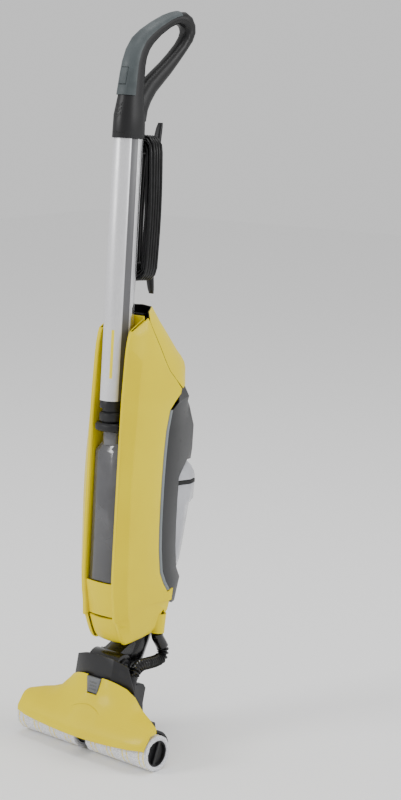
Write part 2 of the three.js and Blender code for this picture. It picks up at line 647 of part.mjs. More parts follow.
// ---------------------------------------------------------------- fresh water tank
const FRESH_REAR_Y = [[202, 157], [284, 172], [326, 180], [333, 190], [360, 191]];

function addFreshTank() {
  const half = (z) => through([[202, 28], [230, 33.5], [360, 33.5]], z);
  const section = (z, wall) => {
    const rear = through(FRESH_REAR_Y, z) - wall;
    const w = half(z) - wall;
    const front = 88 + wall;
    return mirrored([[w, front], [w, rear - 30], [w - 8, rear - 10], [w - 20, rear - 1], [0, rear]]);
  };
  const heights = [202, 230, 260, 290, 325, 333, 360];
  const outer = loft(heights.map((z) => level(section(z, 0), z)));
  const hollow = [[202, 204.2], ...heights.slice(1, -1).map((z) => [z, z]), [360, 361]];
  const inner = loft(hollow.map(([z, height]) => level(section(z, 2.2), height)));
  add(upright, "fresh_water_tank", cut(outer, inner), CLEAR);

  const band = loft([360.3, 367.2].map((z) => level(section(360, -0.4), z)));
  const hood = loft([367.5, 372, 380, 389, 398].map((z) => level(section(360, 0).map(([x, y]) => {
    const narrow = through([[367, 1], [376, 0.99], [387, 0.86], [398, 0.62]], z);
    const shallow = through([[367, 1], [378, 0.99], [387, 0.95], [398, 0.84]], z);
    return [x * narrow, 100 + (y - 100) * shallow];
  }), z)));
  add(upright, "fresh_tank_seal", band, RUBBER);
  add(upright, "fresh_tank_cap", hood, CLEAR);
  add(upright, "water_valve", join(
    rod(9, 16, "z", [0, 112, 184], 20),
    rod(5, 12, "z", [0, 112, 195.7], 16),
    block([26, 20, 12], [0, 108, 172]),
  ), BLACK);
}

// ---------------------------------------------------------------- dirty water tank in the front channel
function addDirtyTank() {
  const halfWidth = CHANNEL_HALF - 1.2;
  const section = (z, wall) => {
    const rise = through([[TANK_SPAN[1] - 16, 0], [TANK_SPAN[1], 1]], z);
    const w = halfWidth - wall - 9 * rise;
    const front = -17.5 + wall + 6 * rise;
    const back = CHANNEL_BACK - 1 - wall - 6 * rise;
    const half = [[0, front], [w * 0.36, front + 0.3], [w * 0.72, front + 1.6], [w, front + 6],
      [w, back - 5], [w - 5, back]];
    return mirrored(half);
  };
  const heights = [TANK_SPAN[0], TANK_SPAN[1] - 16, TANK_SPAN[1] - 10, TANK_SPAN[1] - 3, TANK_SPAN[1]];
  const outer = join(
    loft(heights.map((z) => level(section(z, 0), z))),
    loft([level(oval(18.5, 17.5, 28, 2.4, 2), TANK_SPAN[1] - 4), level(oval(18.5, 17.5, 28, 2.4, 2), 459)]),
  );
  const inner = join(
    loft([TANK_SPAN[0] + 2, TANK_SPAN[1] - 17, TANK_SPAN[1] - 12].map((z) => level(section(z, 2), z))),
    loft([level(oval(16.4, 15.4, 28, 2.4, 2), TANK_SPAN[1] - 20), level(oval(16.4, 15.4, 28, 2.4, 2), 462)]),
  );
  add(upright, "dirty_water_tank", cut(outer, inner), SMOKE);
  add(upright, "dirty_tank_lid", loft([
    level(oval(26.5, 24.5, 32, 2.5, -1.5), 459.4),
    level(oval(28.6, 27, 32, 2.5, -2), 462),
    level(oval(28.6, 27, 32, 2.5, -2), 470),
    level(oval(26.5, 25, 32, 2.5, -1), 473.5),
  ]), BLACK);
  add(upright, "tank_float", rod(11, 22, "z", [0, 2, 400], 24), finish(0xd8d8d8, 0.5));
  add(upright, "float_cage", cut(
    join(rod(14.5, 70, "z", [0, 2, 420], 24), rod(15, 6, "z", [0, 2, 456], 24)),
    rod(11.8, 61, "z", [0, 2, 418], 24),
    block([40, 10, 44], [0, 2, 414]),
  ), BLACK);

  const stem = oval(18.4, 22, 32, 2.2, TUBE_Y + 2);
  const stemHole = oval(18.8, 22.4, 32, 2.2, TUBE_Y + 2);
  const collar = oval(20, 26, 32, 2.3, TUBE_Y);
  add(upright, "tube_socket", join(
    loft([level(stem, 474), level(stem, 501)]),
    loft([level(collar, 498), level(collar, TUBE_SPAN[0] - GAP)]),
    block([30, 10, 8], [0, 21.4, 488]),
  ), BLACK);
  add(upright, "tank_lock", cut(
    loft([
      level(oval(21.5, 25, 32, 2.3, TUBE_Y + 2), 476),
      level(oval(22.6, 26, 32, 2.3, TUBE_Y + 2), 479),
      level(oval(22.6, 26, 32, 2.3, TUBE_Y + 2), 488),
      level(oval(20.6, 24, 32, 2.3, TUBE_Y + 2), 491),
    ]),
    loft([level(stemHole, 470), level(stemHole, 500)]),
    block([34, 20, 30], [0, 25, 485]),
  ), BLACK);
}

// ---------------------------------------------------------------- works inside the housing
function addWorks() {
  const middleY = 56;
  add(upright, "suction_motor", join(
    rod(23, 62, "z", [0, middleY, 272], 28),
    rod(4, 20, "z", [0, middleY, 240], 16),
  ), STEEL);
  add(upright, "suction_fan", fanWheel(0, middleY, 309), finish(0xc8c8c8, 0.5));
  add(upright, "fan_shroud", cut(
    rod(26, 30, "z", [0, middleY, 318.6], 32),
    rod(23.6, 26, "z", [0, middleY, 315.9], 32),
    rod(9, 40, "z", [0, middleY, 330], 20),
  ), BLACK);
  add(upright, "motor_mount", cut(
    block([58, 48, 4], [0, middleY - 1, 228]),
    rod(4.4, 20, "z", [0, middleY, 228], 16),
  ), BLACK);
  add(upright, "control_board", block([44, 2, 92], [3, 34.5, 400]), BOARD);
  const duct = [[0, 66, 136], [-18, 58, 150], [-37, 46, 180], [-39, 42, 230], [-39, 42, 400],
    [-30, 42, 452]];
  add(upright, "suction_duct", sweep(duct, 8, 10, 16), RUBBER);
}

// An impeller: a hub plate with swept blades, joined in one body.
function fanWheel(x, y, z) {
  const blades = steps(0, 315, 7).map((degrees) => {
    const blade = new THREE.BoxGeometry(1.6, 14, 9).translate(0, 13.5, 5.5);
    return blade.rotateZ(THREE.MathUtils.degToRad(degrees)).translate(x, y, z);
  });
  return join(rod(22.5, 3, "z", [x, y, z], 28), rod(7, 12, "z", [x, y, z + 5], 16), ...blades);
}

// ---------------------------------------------------------------- tube, handle and hooks
function addTube() {
  const section = (halfX, halfY) => {
    const outline = oval(halfX, halfY, 48, 2.3);
    return outline.map(([u, v]) => {
      const inGroove = v > -11 && v < 3 && Math.abs(u) > halfX * 0.8;
      const inSlit = v > 7 && v < 10.5 && Math.abs(u) > halfX * 0.7;
      return [u * (inGroove || inSlit ? 0.93 : 1), v + TUBE_Y];
    });
  };
  const outer = loft(TUBE_SPAN.map((z) => level(section(...TUBE_HALF), z)));
  const boreOutline = oval(TUBE_HALF[0] - 3.2, TUBE_HALF[1] - 2, 32, 2.3, TUBE_Y);
  const inner = loft([TUBE_SPAN[0] - 5, TUBE_SPAN[1] + 5].map((z) => level(boreOutline, z)));
  add(upright, "main_tube", cut(outer, inner), SILVER);
}

// A ring of the handle across its centre line: centre, direction of travel, half width and half depth.
function gripRing([y, z, degrees, halfX, halfDepth], outline) {
  const angle = THREE.MathUtils.degToRad(degrees);
  const outward = [-Math.sin(angle), Math.cos(angle)];
  return {
    outline: outline(halfX, halfDepth),
    at: (u, v) => [u, y + outward[0] * v, z + outward[1] * v],
  };
}

// y, z, direction, half width and half depth along the grip, from the sleeve over the top to the tip.
const GRIP = [
  [-2, SLEEVE_BOTTOM, 90, 21.7, 29],
  [-2, 975, 90, 21.3, 28],
  [-1, 1006, 88, 20.2, 25.5],
  [1.5, 1038, 84, 19, 23.2],
  [3.8, 1057, 77, 18, 22],
  [8.5, 1074, 68, 17.5, 20.5],
  [17.5, 1089.7, 54, 17, 19],
  [29.8, 1101.5, 40, 16.5, 16.9],
  [50, 1116, 29, 16, 14.5],
  [74.4, 1129.8, 20, 15.5, 13],
  [88, 1135.4, 14, 15.2, 12.4],
  [98.7, 1138.6, 6, 15, 12.2],
  [110, 1138.6, -15, 14.7, 12.3],
  [119.6, 1134.6, -42, 14.3, 12.8],
  [125.4, 1127, -68, 14, 12.8],
  [127, 1118, -92, 13.5, 12.3],
  [122.5, 1106, -116, 13, 11.2],
];
const RETURN_BAR = [
  [123.4, 1107.6, -118, 13, 11],
  [111.8, 1092.5, -128, 12.3, 10.6],
  [94, 1073.4, -133, 12, 11.7],
  [76.2, 1055.8, -135, 12, 13.2],
  [57.9, 1039.9, -136, 12.5, 14.5],
  [40, 1024, -134, 13.5, 15.5],
  [26, 1007, -126, 15, 16.5],
  [17, 990, -112, 16.3, 16.6],
  [12.5, 968, -98, 17.5, 15.5],
];
const SKIN_FROM = 2;
const SKIN_TO = 11;
const SWITCH = { z: 1037, width: 15, height: 27 };

function addHandle() {
  const round = (halfX, halfDepth) => oval(halfX, halfDepth, 28, 2.3);
  const core = GRIP.map((ringSize, i) => {
    if (i < SKIN_FROM || i > SKIN_TO) return ringSize;
    const [y, z, degrees, halfX, halfDepth] = ringSize;
    return [y, z, degrees, halfX - 2.6, halfDepth - 2.6];
  });
  const grip = loft(core.map((size) => gripRing(size, round)));
  const bar = loft(RETURN_BAR.map((size) => gripRing(size, round)));
  const socketOutline = oval(TUBE_HALF[0] + GAP, TUBE_HALF[1] + GAP, 48, 2.3, TUBE_Y);
  const socket = loft([930, 964].map((z) => level(socketOutline, z)));
  const switchBay = block([SWITCH.width + 1, 16, SWITCH.height + 1], [0, -20, SWITCH.z]);
  add(upright, "handle_body", cut(join(grip, bar), socket, switchBay), BLACK);

  const half = (halfX, halfDepth) => {
    const covered = (_, i) => i >= 2 && i <= 18;
    const outer = oval(halfX, halfDepth, 40, 2.3).filter(covered);
    const inner = oval(halfX - 2.2, halfDepth - 2.2, 40, 2.3).filter(covered);
    return [...outer, ...inner.reverse()];
  };
  const skinSizes = GRIP.slice(SKIN_FROM, SKIN_TO + 1);
  const skin = loft(skinSizes.map((size) => gripRing(size, half)));
  add(upright, "handle_grip", cut(skin, switchBay), GREY);
  const halfKey = SWITCH.height / 2;
  const keyOutline = [[-23.2, SWITCH.z - halfKey], [-20.8, SWITCH.z + halfKey], [-15, SWITCH.z + halfKey],
    [-17, SWITCH.z - halfKey]];
  const key = plateAcross(keyOutline, SWITCH.width, 0);
  add(upright, "power_switch", key, GREY);
}

function addHook(name, z, direction) {
  const arm = new THREE.CylinderGeometry(HOOK_ARM_RADIUS, HOOK_ARM_RADIUS, 38, 20).translate(0, 43.8, z);
  const finger = loft([
    { outline: oval(8, 4.5, 16, 3, 65), at: (x, y) => [x, y, z - direction * 7] },
    { outline: oval(8, 4.6, 16, 3, 66), at: (x, y) => [x, y, z + direction * 12] },
    { outline: oval(6, 3.6, 16, 3, 71), at: (x, y) => [x, y, z + direction * 38] },
    { outline: oval(4.5, 2.4, 16, 3, 73), at: (x, y) => [x, y, z + direction * 46] },
  ]);
  add(upright, name, join(arm, finger), BLACK);
}

function addHooks() {
  addHook("upper_cord_hook", HOOK_HIGH, 1);
  addHook("lower_cord_hook", HOOK_LOW, -1);
}

// ---------------------------------------------------------------- mains cord
function stadium(radius, from, to) {
  const shape = new THREE.Shape();
  shape.absarc(0, to, radius, 0, Math.PI);
  shape.absarc(0, from, radius, Math.PI, 2 * Math.PI);
  return shape;
}

function addCord() {
  const outline = stadium(HANK_OUTER, HOOK_LOW, HOOK_HIGH);
  outline.holes.push(stadium(HANK_INNER, HOOK_LOW, HOOK_HIGH));
  const depth = HANK_DEPTH[1] - HANK_DEPTH[0];
  const hank = new THREE.ExtrudeGeometry(outline, { depth, bevelEnabled: false, curveSegments: 10 });
  hank.rotateX(Math.PI / 2).translate(0, HANK_DEPTH[1], 0);
  add(upright, "cord_hank", hank, BLACK);
  add(upright, "cord_gland", join(
    rod(6.5, 22, "z", [-14, 33, 667], 16, 4.4),
    rod(8, 3, "z", [-14, 33, 656], 16),
  ), RUBBER);
  const tray = mirrored([[25, 30.5], [22, 38], [14, 43], [0, 45]]);
  add(upright, "hood_insert", loft([640, 654.2].map((z) => level(tray, z))), BLACK);
  const lead = [[-14, 33, 678.6], [-14, 32, 684], [-14, 26.2, 696], [-13.6, 25.7, 712], [-12.6, 25.7, 790]];
  add(upright, "cord_lead", sweep(lead, CORD_RADIUS, 10, 16), BLACK);
  const plugOutline = (halfX, halfY) =>
    oval(halfX, halfY, 24, 2.5, 45).map(([x, y]) => [x + PLUG_X, y]);
  add(upright, "mains_plug", join(
    loft([
      level(plugOutline(7, 8), 806),
      level(plugOutline(9.5, 17), 816),
      level(plugOutline(9.5, 18), 840),
      level(plugOutline(9, 16), 846),
    ]),
    rod(2.4, 19, "z", [PLUG_X, 35.5, 855], 12),
    rod(2.4, 19, "z", [PLUG_X, 54.5, 855], 12),
  ), BLACK);
}

// ---------------------------------------------------------------- assembly
addDrive();
addGearboxHousing();
addRoller(-1, "left");
addRoller(1, "right");
addRollerCover();
addYoke();
addChassis();
addNeck();
addHoses();
addHousing();
addRearShell();
addRearFrame();
addFreshTank();
addDirtyTank();
addWorks();
addTube();
addHandle();
addHooks();
addCord();

// The origin is under the middle of the machine's own length and depth.
machine.updateMatrixWorld(true);
const extent = new THREE.Box3().setFromObject(machine, true);
machine.position.y = -(extent.min.y + extent.max.y) / 2;

const part = new THREE.Group();
part.add(machine);

export default part;
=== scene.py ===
"""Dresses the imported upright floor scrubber: every shell, roller, hose, tank, grip and its wound cord.

All sizes are metres in the row frame: +Z up, -Y towards the rollers, +X along the rollers.
"""

from __future__ import annotations

import logging
import math
from dataclasses import dataclass
from enum import Enum
from typing import Callable, ClassVar, Sequence, Union

import bpy
from mathutils import Euler, Matrix, Vector

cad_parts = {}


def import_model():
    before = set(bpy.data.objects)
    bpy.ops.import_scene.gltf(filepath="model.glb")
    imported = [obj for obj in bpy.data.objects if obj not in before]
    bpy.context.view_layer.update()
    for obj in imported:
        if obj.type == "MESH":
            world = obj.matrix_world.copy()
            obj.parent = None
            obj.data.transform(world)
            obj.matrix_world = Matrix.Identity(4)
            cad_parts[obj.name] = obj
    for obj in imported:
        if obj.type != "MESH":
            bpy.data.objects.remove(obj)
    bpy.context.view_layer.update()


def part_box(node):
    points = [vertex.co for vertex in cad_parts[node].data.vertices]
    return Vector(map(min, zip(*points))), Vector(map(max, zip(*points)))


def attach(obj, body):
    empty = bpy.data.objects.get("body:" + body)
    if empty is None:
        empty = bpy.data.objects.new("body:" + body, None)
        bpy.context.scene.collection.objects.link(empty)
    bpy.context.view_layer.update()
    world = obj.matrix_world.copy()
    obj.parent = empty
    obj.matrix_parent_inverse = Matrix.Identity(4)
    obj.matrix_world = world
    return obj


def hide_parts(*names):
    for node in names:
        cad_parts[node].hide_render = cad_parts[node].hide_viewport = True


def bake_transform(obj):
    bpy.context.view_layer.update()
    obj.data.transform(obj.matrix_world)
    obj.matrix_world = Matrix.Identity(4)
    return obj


Number = Union[int, float]
Point = tuple[float, float, float]
LOG = logging.getLogger("scrubber")


class Body(str, Enum):
    """The rigid bodies that pieces ride on."""

    HEAD = "head"
    LEFT_ROLLER = "left_roller"
    RIGHT_ROLLER = "right_roller"
    COVER = "cover"
    LATCH = "latch"
    NECK = "neck_joint"
    UPRIGHT = "upright"
    DIRTY_TANK = "dirty_tank"
    CLAMP = "tank_clamp"
    FRESH_TANK = "fresh_tank"
    SWIVEL_HOOK = "swivel_hook"
    SWITCH = "switch_key"


class Side(Enum):
    """Which half of the machine a mirrored piece belongs to."""

    LEFT = -1
    RIGHT = 1

    @property
    def word(self) -> str:
        """The side's name as the node names spell it."""
        return self.name.lower()


# ------------------------------------------------------------------ shader graph
@dataclass(frozen=True)
class Term:
    """A socket's value, so that shader maths reads as ordinary arithmetic."""

    graph: "Graph"
    socket: bpy.types.NodeSocket

    def _math(self, operation: str, *values: Union["Term", Number]) -> "Term":
        """Adds one Math node.

        Args:
            operation: Blender's name of the operation.
            values: what its sockets take, in order.

        Returns:
            The node's value.
        """
        sockets = dict(enumerate(values))
        return self.graph.node("ShaderNodeMath", {"operation": operation}, sockets)

    def __add__(self, other: Union["Term", Number]) -> "Term":
        """Sum."""
        return self._math("ADD", self, other)

    def __sub__(self, other: Union["Term", Number]) -> "Term":
        """Difference."""
        return self._math("SUBTRACT", self, other)

    def __rsub__(self, other: Union["Term", Number]) -> "Term":
        """Reflected difference."""
        return self._math("SUBTRACT", other, self)

    def __mul__(self, other: Union["Term", Number]) -> "Term":
        """Product."""
        return self._math("MULTIPLY", self, other)

    def __truediv__(self, other: Union["Term", Number]) -> "Term":
        """Quotient."""
        return self._math("DIVIDE", self, other)

    def __neg__(self) -> "Term":
        """Opposite."""
        return self._math("MULTIPLY", self, -1)

    __radd__ = __add__
    __rmul__ = __mul__

    def absolute(self) -> "Term":
        """Size without sign."""
        return self._math("ABSOLUTE", self)

    def within(self, low: Number, high: Number) -> "Term":
        """0 at low and below, 1 at high and above, smooth between; low may exceed high."""
        return self.graph.node(
            "ShaderNodeMapRange",
            {"interpolation_type": "SMOOTHSTEP"},
            {"Value": self, "From Min": low, "From Max": high},
        )

    def wrapped(self, period: Number) -> "Term":
        """Distance from the nearest whole multiple of a period."""
        return self._math("PINGPONG", self, period / 2)


class Graph:
    """The node tree of one material."""

    def __init__(self, name: str) -> None:
        """Starts an empty material.

        Args:
            name: the material's name.
        """
        self.material = bpy.data.materials.new(name)
        self.material.use_nodes = True
        self.tree = self.material.node_tree
        self.tree.nodes.clear()
        self.output = self.tree.nodes.new("ShaderNodeOutputMaterial")

    def node(
        self,
        kind: str,
        settings: dict[str, object],
        sockets: dict[Union[str, int], object],
        out: Union[str, int] = 0,
    ) -> Term:
        """Adds a node.

        Args:
            kind: the node's type.
            settings: its own settings; "stops" fills a colour ramp.
            sockets: values or terms by socket name or number.
            out: the output that is wanted.

        Returns:
            That output as a term.
        """
        made = self.tree.nodes.new(kind)
        for key, value in settings.items():
            if key == "stops":
                self._fill_ramp(made, value)
            else:
                setattr(made, key, value)
        for key, value in sockets.items():
            if isinstance(value, Term):
                self.tree.links.new(value.socket, made.inputs[key])
            else:
                made.inputs[key].default_value = value
        return Term(self, made.outputs[out])

    @staticmethod
    def _fill_ramp(node: bpy.types.Node, stops: Sequence[tuple[float, tuple]]) -> None:
        """Sets a colour ramp's stops."""
        ramp = node.color_ramp
        while len(ramp.elements) < len(stops):
            ramp.elements.new(0.5)
        for element, (place, colour) in zip(ramp.elements, stops):
            element.position = place
            element.color = colour

    def place(self) -> tuple[Term, Term, Term, Term]:
        """The piece's own coordinates as a vector and as x, y and z."""
        vector = self.node("ShaderNodeTexCoord", {}, {}, "Object")
        split = self.tree.nodes.new("ShaderNodeSeparateXYZ")
        self.tree.links.new(vector.socket, split.inputs[0])
        return (vector, *(Term(self, s) for s in split.outputs))

    def noise(self, vector: Term, scale: float, detail: float = 3.0) -> Term:
        """Fractal noise of a given scale per metre."""
        return self.node(
            "ShaderNodeTexNoise", {}, {"Vector": vector, "Scale": scale, "Detail": detail}
        )

    def mix(self, share: Term, low: Sequence[float], high: Sequence[float]) -> Term:
        """Blends two colours, or colour terms, by a share."""
        return self.node(
            "ShaderNodeMix",
            {"data_type": "RGBA"},
            {0: share, 6: low, 7: high},
            2,
        )

    def bump(self, height: Term, distance: float, strength: float = 1.0) -> Term:
        """A normal from a height."""
        return self.node(
            "ShaderNodeBump",
            {},
            {"Height": height, "Distance": distance, "Strength": strength},
            "Normal",
        )

    def surface(self, **sockets: object) -> bpy.types.Material:
        """Ends the tree in a Principled shader.

        Args:
            sockets: its sockets, spaces written as underscores.

        Returns:
            The finished material.
        """
        values = {key.replace("_", " "): value for key, value in sockets.items()}
        shader = self.node("ShaderNodeBsdfPrincipled", {}, values, "BSDF")
        self.tree.links.new(shader.socket, self.output.inputs["Surface"])
        return self.material


def rgba(red: float, green: float, blue: float, alpha: float = 1.0) -> tuple:
    """A colour from display values of 0 to 255.

    Args:
        red: red.
        green: green.
        blue: blue.
        alpha: opacity.

    Returns:
        The linear colour with its alpha.
    """

    def linear(value: float) -> float:
        """One channel made linear."""
        share = value / 255
        return share / 12.92 if share <= 0.04045 else ((share + 0.055) / 1.055) ** 2.4

    return (linear(red), linear(green), linear(blue), alpha)


# ------------------------------------------------------------------ finishes
@dataclass(frozen=True)
class Plastic:
    """Moulded plastic with a fine grain, faint flow marks and handling wear."""

    name: str
    colour: tuple
    shade: tuple
    roughness: float = 0.35
    grain: float = 2600.0
    grain_depth: float = 0.00003
    coat: float = 0.0
    specular: float = 0.35
    relief: Callable[[Graph, Term, Term, Term], Term] | None = None
    relief_depth: float = 0.0008

    def material(self) -> bpy.types.Material:
        """Builds the finish.

        Returns:
            The material.
        """
        g = Graph(self.name)
        where, x, y, z = g.place()
        cloud = g.noise(where, 9.0, 2.0).within(0.38, 0.62)
        grain = g.noise(where, self.grain, 2.0)
        scuff = g.noise(where, 140.0, 4.0).within(0.62, 0.74)
        height = grain * self.grain_depth
        if self.relief is not None:
            height = height + self.relief(g, x, y, z) * self.relief_depth
        return g.surface(
            Base_Color=g.mix(cloud, self.colour, self.shade),
            Roughness=self.roughness + 0.05 * cloud + 0.1 * scuff,
            Specular_IOR_Level=self.specular,
            Coat_Weight=self.coat,
            Coat_Roughness=0.08,
            Normal=g.bump(height * 1000, 0.001),
        )


@dataclass(frozen=True)
class TubeMetal:
    """Anodised oval tube: satin faces, painted shade in the slot along each side and one plain yellow
    accent.
    """

    name: str
    colour: tuple
    shade: tuple
    roughness: float = 0.34
    slot: tuple[float, float] = (-0.0135, 0.0015)
    edge: float = 0.0065
    accent: tuple[float, float] = (0.0105, 0.0021)
    accent_height: tuple[float, float] = (0.588, 0.04)

    def material(self) -> bpy.types.Material:
        """Builds the finish.

        Returns:
            The material.
        """
        g = Graph(self.name)
        where, x, y, z = g.place()
        depth, height = upright_axes(g, y, z)
        lines_at = g.node("ShaderNodeMapping", {}, {"Vector": where, "Scale": (2400.0, 2400.0, 10.0)})
        lines = g.noise(lines_at, 1.0, 2.0)
        smear = g.noise(where, 22.0, 2.0).within(0.35, 0.7)
        at_side = x.absolute().within(0.0155, 0.0165)
        middle = sum(self.slot) / 2
        half = (self.slot[1] - self.slot[0]) / 2
        # painted shade: the slot along each side is darkened where the groove lies in shade
        slot = (depth - middle).absolute().within(half + 0.0004, half - 0.0004) * at_side
        bright = depth.within(self.edge - 0.0006, self.edge + 0.0006) * at_side
        across, half_across = self.accent
        level, half_level = self.accent_height
        mark = (x - across).absolute().within(half_across, half_across - 0.0003)
        mark = mark * (height - level).absolute().within(half_level, half_level - 0.0004)
        mark = mark * depth.within(-0.01, -0.012)
        silver = g.mix(lines.within(0.3, 0.7), self.colour, self.shade)
        # painted shade in the side slots
        silver = g.mix(slot * 0.9, silver, rgba(58, 58, 61))
        silver = g.mix(mark, silver, (0.95, 0.76, 0.0, 1.0))
        return g.surface(
            Base_Color=silver,
            Metallic=(0.35 + 0.6 * bright) * (1 - mark) * (1 - 0.5 * slot),
            Roughness=self.roughness + 0.08 * smear + 0.04 * lines - 0.2 * bright,
            Normal=g.bump(lines, 0.00002),
        )


@dataclass(frozen=True)
class Metal:
    """Drawn or turned metal with fine lines along one axis."""

    name: str
    colour: tuple
    shade: tuple
    roughness: float = 0.3
    stretch: Point = (2400.0, 2400.0, 12.0)

    def material(self) -> bpy.types.Material:
        """Builds the finish.

        Returns:
            The material.
        """
        g = Graph(self.name)
        where, _x, _y, _z = g.place()
        lines_at = g.node("ShaderNodeMapping", {}, {"Vector": where, "Scale": self.stretch})
        lines = g.noise(lines_at, 1.0, 2.0)
        smear = g.noise(where, 22.0, 2.0).within(0.35, 0.7)
        return g.surface(
            Base_Color=g.mix(lines.within(0.3, 0.7), self.colour, self.shade),
            Metallic=1.0,
            Roughness=self.roughness + 0.08 * smear + 0.04 * lines,
            Normal=g.bump(lines, 0.00002),
        )


@dataclass(frozen=True)
class SeeThrough:
    """Tinted clear plastic: mostly surface, a little of what lies behind, with painted shade darkening it
    towards the bottom.
    """

    name: str
    colour: tuple
    shade: tuple
    roughness: float = 0.12
    alpha: float = 0.85
    painted_shade_span: tuple[float, float] = (0.2, 0.6)

    def material(self) -> bpy.types.Material:
        """Builds the finish.

        Returns:
            The material.
        """
        g = Graph(self.name)
        where, _x, _y, z = g.place()
        film = g.noise(where, 30.0, 3.0).within(0.4, 0.7)
        # painted shade: the tank darkens towards the bottom and lightens towards the top
        height = z.within(*self.painted_shade_span)
        colour = g.mix(height, self.shade, self.colour)
        return g.surface(
            Base_Color=g.mix(0.25 * film, colour, self.shade),
            Roughness=self.roughness + 0.06 * film,
            Alpha=self.alpha - 0.06 * film,
            Coat_Weight=0.6,
            Coat_Roughness=0.05,
            Normal=g.bump(g.noise(where, 60.0, 2.0), 0.0002),
        )


@dataclass(frozen=True)
class Pile:
    """White microfibre pile with thin yellow stripes sewn round the roller in pairs, and painted shade
    between the tufts.
    """

    name: str
    start: float
    pitch: float = 0.0365
    spread: float = 0.0048

    def material(self) -> bpy.types.Material:
        """Builds the finish.

        Returns:
            The material.
        """
        g = Graph(self.name)
        where, x, _y, _z = g.place()
        tufts = g.node(
            "ShaderNodeTexVoronoi", {"feature": "F1"}, {"Vector": where, "Scale": 430.0}, "Distance"
        )
        loose = g.noise(where, 260.0, 4.0)
        soft = g.noise(where, 55.0, 3.0)
        from_pair = (x.absolute() - self.start).wrapped(self.pitch)
        wander = (soft - 0.5) * 0.0016
        line = (from_pair - self.spread + wander).absolute().within(0.0016, 0.0009)
        stitched = line * loose.within(0.36, 0.46)
        # painted shade: the pile turns grey between the tufts, where the bump sinks
        pile_with_painted_shade = g.mix(tufts.within(0.1, 0.75), rgba(243, 243, 246), rgba(196, 197, 204))
        worn = g.mix(soft.within(0.45, 0.75) * 0.5, pile_with_painted_shade, rgba(226, 227, 232))
        return g.surface(
            Base_Color=g.mix(stitched, worn, (0.86, 0.68, 0.02, 1.0)),
            Roughness=0.92,
            Sheen_Weight=0.5,
            Sheen_Roughness=0.6,
            Normal=g.bump((1 - tufts) * 0.7 + loose * 0.6, 0.0011, 0.9),
        )


@dataclass(frozen=True)
class Rubbery:
    """Soft black or grey material with a matt bloom."""

    name: str
    colour: tuple
    shade: tuple
    roughness: float = 0.7

    def material(self) -> bpy.types.Material:
        """Builds the finish.

        Returns:
            The material.
        """
        g = Graph(self.name)
        where, _x, _y, _z = g.place()
        bloom = g.noise(where, 36.0, 4.0).within(0.4, 0.68)
        pores = g.noise(where, 1500.0, 1.0)
        return g.surface(
            Base_Color=g.mix(bloom, self.colour, self.shade),
            Roughness=self.roughness + 0.1 * bloom,
            Specular_IOR_Level=0.4,
            Normal=g.bump(pores, 0.00008),
        )


@dataclass(frozen=True)
class Sheath:
    """The mains cord's smooth black jacket."""

    name: str

    def material(self) -> bpy.types.Material:
        """Builds the finish.

        Returns:
            The material.
        """
        g = Graph(self.name)
        where, _x, _y, _z = g.place()
        dust = g.noise(where, 90.0, 3.0).within(0.45, 0.7)
        return g.surface(
            Base_Color=g.mix(dust, rgba(10, 10, 11), rgba(20, 20, 22)),
            Roughness=0.32 + 0.14 * dust,
            Specular_IOR_Level=0.35,
            Normal=g.bump(g.noise(where, 700.0, 2.0), 0.00005),
        )


def upright_axes(g: Graph, y: Term, z: Term) -> tuple[Term, Term]:
    """Depth and height in the leaning upright's own frame, from row-frame terms.

    Args:
        g: the graph, not used.
        y: place along.
        z: height.

    Returns:
        Depth and height, in metres.
    """
    lean = math.radians(5)
    deep = y + 0.087833
    tall = z - 0.08
    depth = deep * math.cos(lean) - tall * math.sin(lean)
    height = tall * math.cos(lean) + deep * math.sin(lean)
    return depth, height


def sleeve_marks(g: Graph, x: Term, y: Term, z: Term) -> Term:
    """Three downward chevrons and a fine line on the front of the handle's sleeve."""
    depth, height = upright_axes(g, y, z)
    front = depth.within(-0.014, -0.018)
    arms = x.absolute().within(0.0062, 0.0054) * front
    marks: Union[Term, float] = 0.0
    for foot in (0.972, 0.98, 0.988):
        along = height - x.absolute() * 0.9 - foot
        marks = marks + along.absolute().within(0.0018, 0.0009) * arms
    line = (height - 0.9465).absolute().within(0.0009, 0.0004)
    broad = x.absolute().within(0.0135, 0.0125) * front
    return marks - line * broad


def latch_ribs(g: Graph, x: Term, y: Term, z: Term) -> Term:
    """Three level ribs across the cover's latch."""
    row = (z - 0.1045).wrapped(0.0056).within(0.0011, 0.0004)
    inside = x.absolute().within(0.0085, 0.0078)
    band = (z - 0.1101).absolute().within(0.0072, 0.0068)
    return row * inside * band


def dome_vents(g: Graph, x: Term, y: Term, z: Term) -> Term:
    """Sunken air slots low in the dome, above the fresh water tank."""
    depth, height = upright_axes(g, y, z)
    slot = (height - 0.4).wrapped(0.0075).within(0.0014, 0.0021)
    band = (height - 0.466).absolute().within(0.0205, 0.0195)
    inside = x.absolute().within(0.021, 0.0195) * depth.within(0.13, 0.135)
    return 1 - (1 - slot) * band * inside


def cover_arc(g: Graph, x: Term, y: Term, z: Term) -> Term:
    """The shallow raised arc low on the front of the roller cover.

    Args:
        g: the graph, not used.
        x: place across.
        y: place along.
        z: height.

    Returns:
        The relief's height from 0 to 1.
    """
    crest = 0.0795 - (x * x) * 7.5
    inside = x.absolute().within(0.036, 0.024) * y.within(-0.105, -0.112)
    above = (z - crest).within(0.0016, -0.0006)
    below = (z - crest).within(-0.022, -0.002)
    return above * below * inside


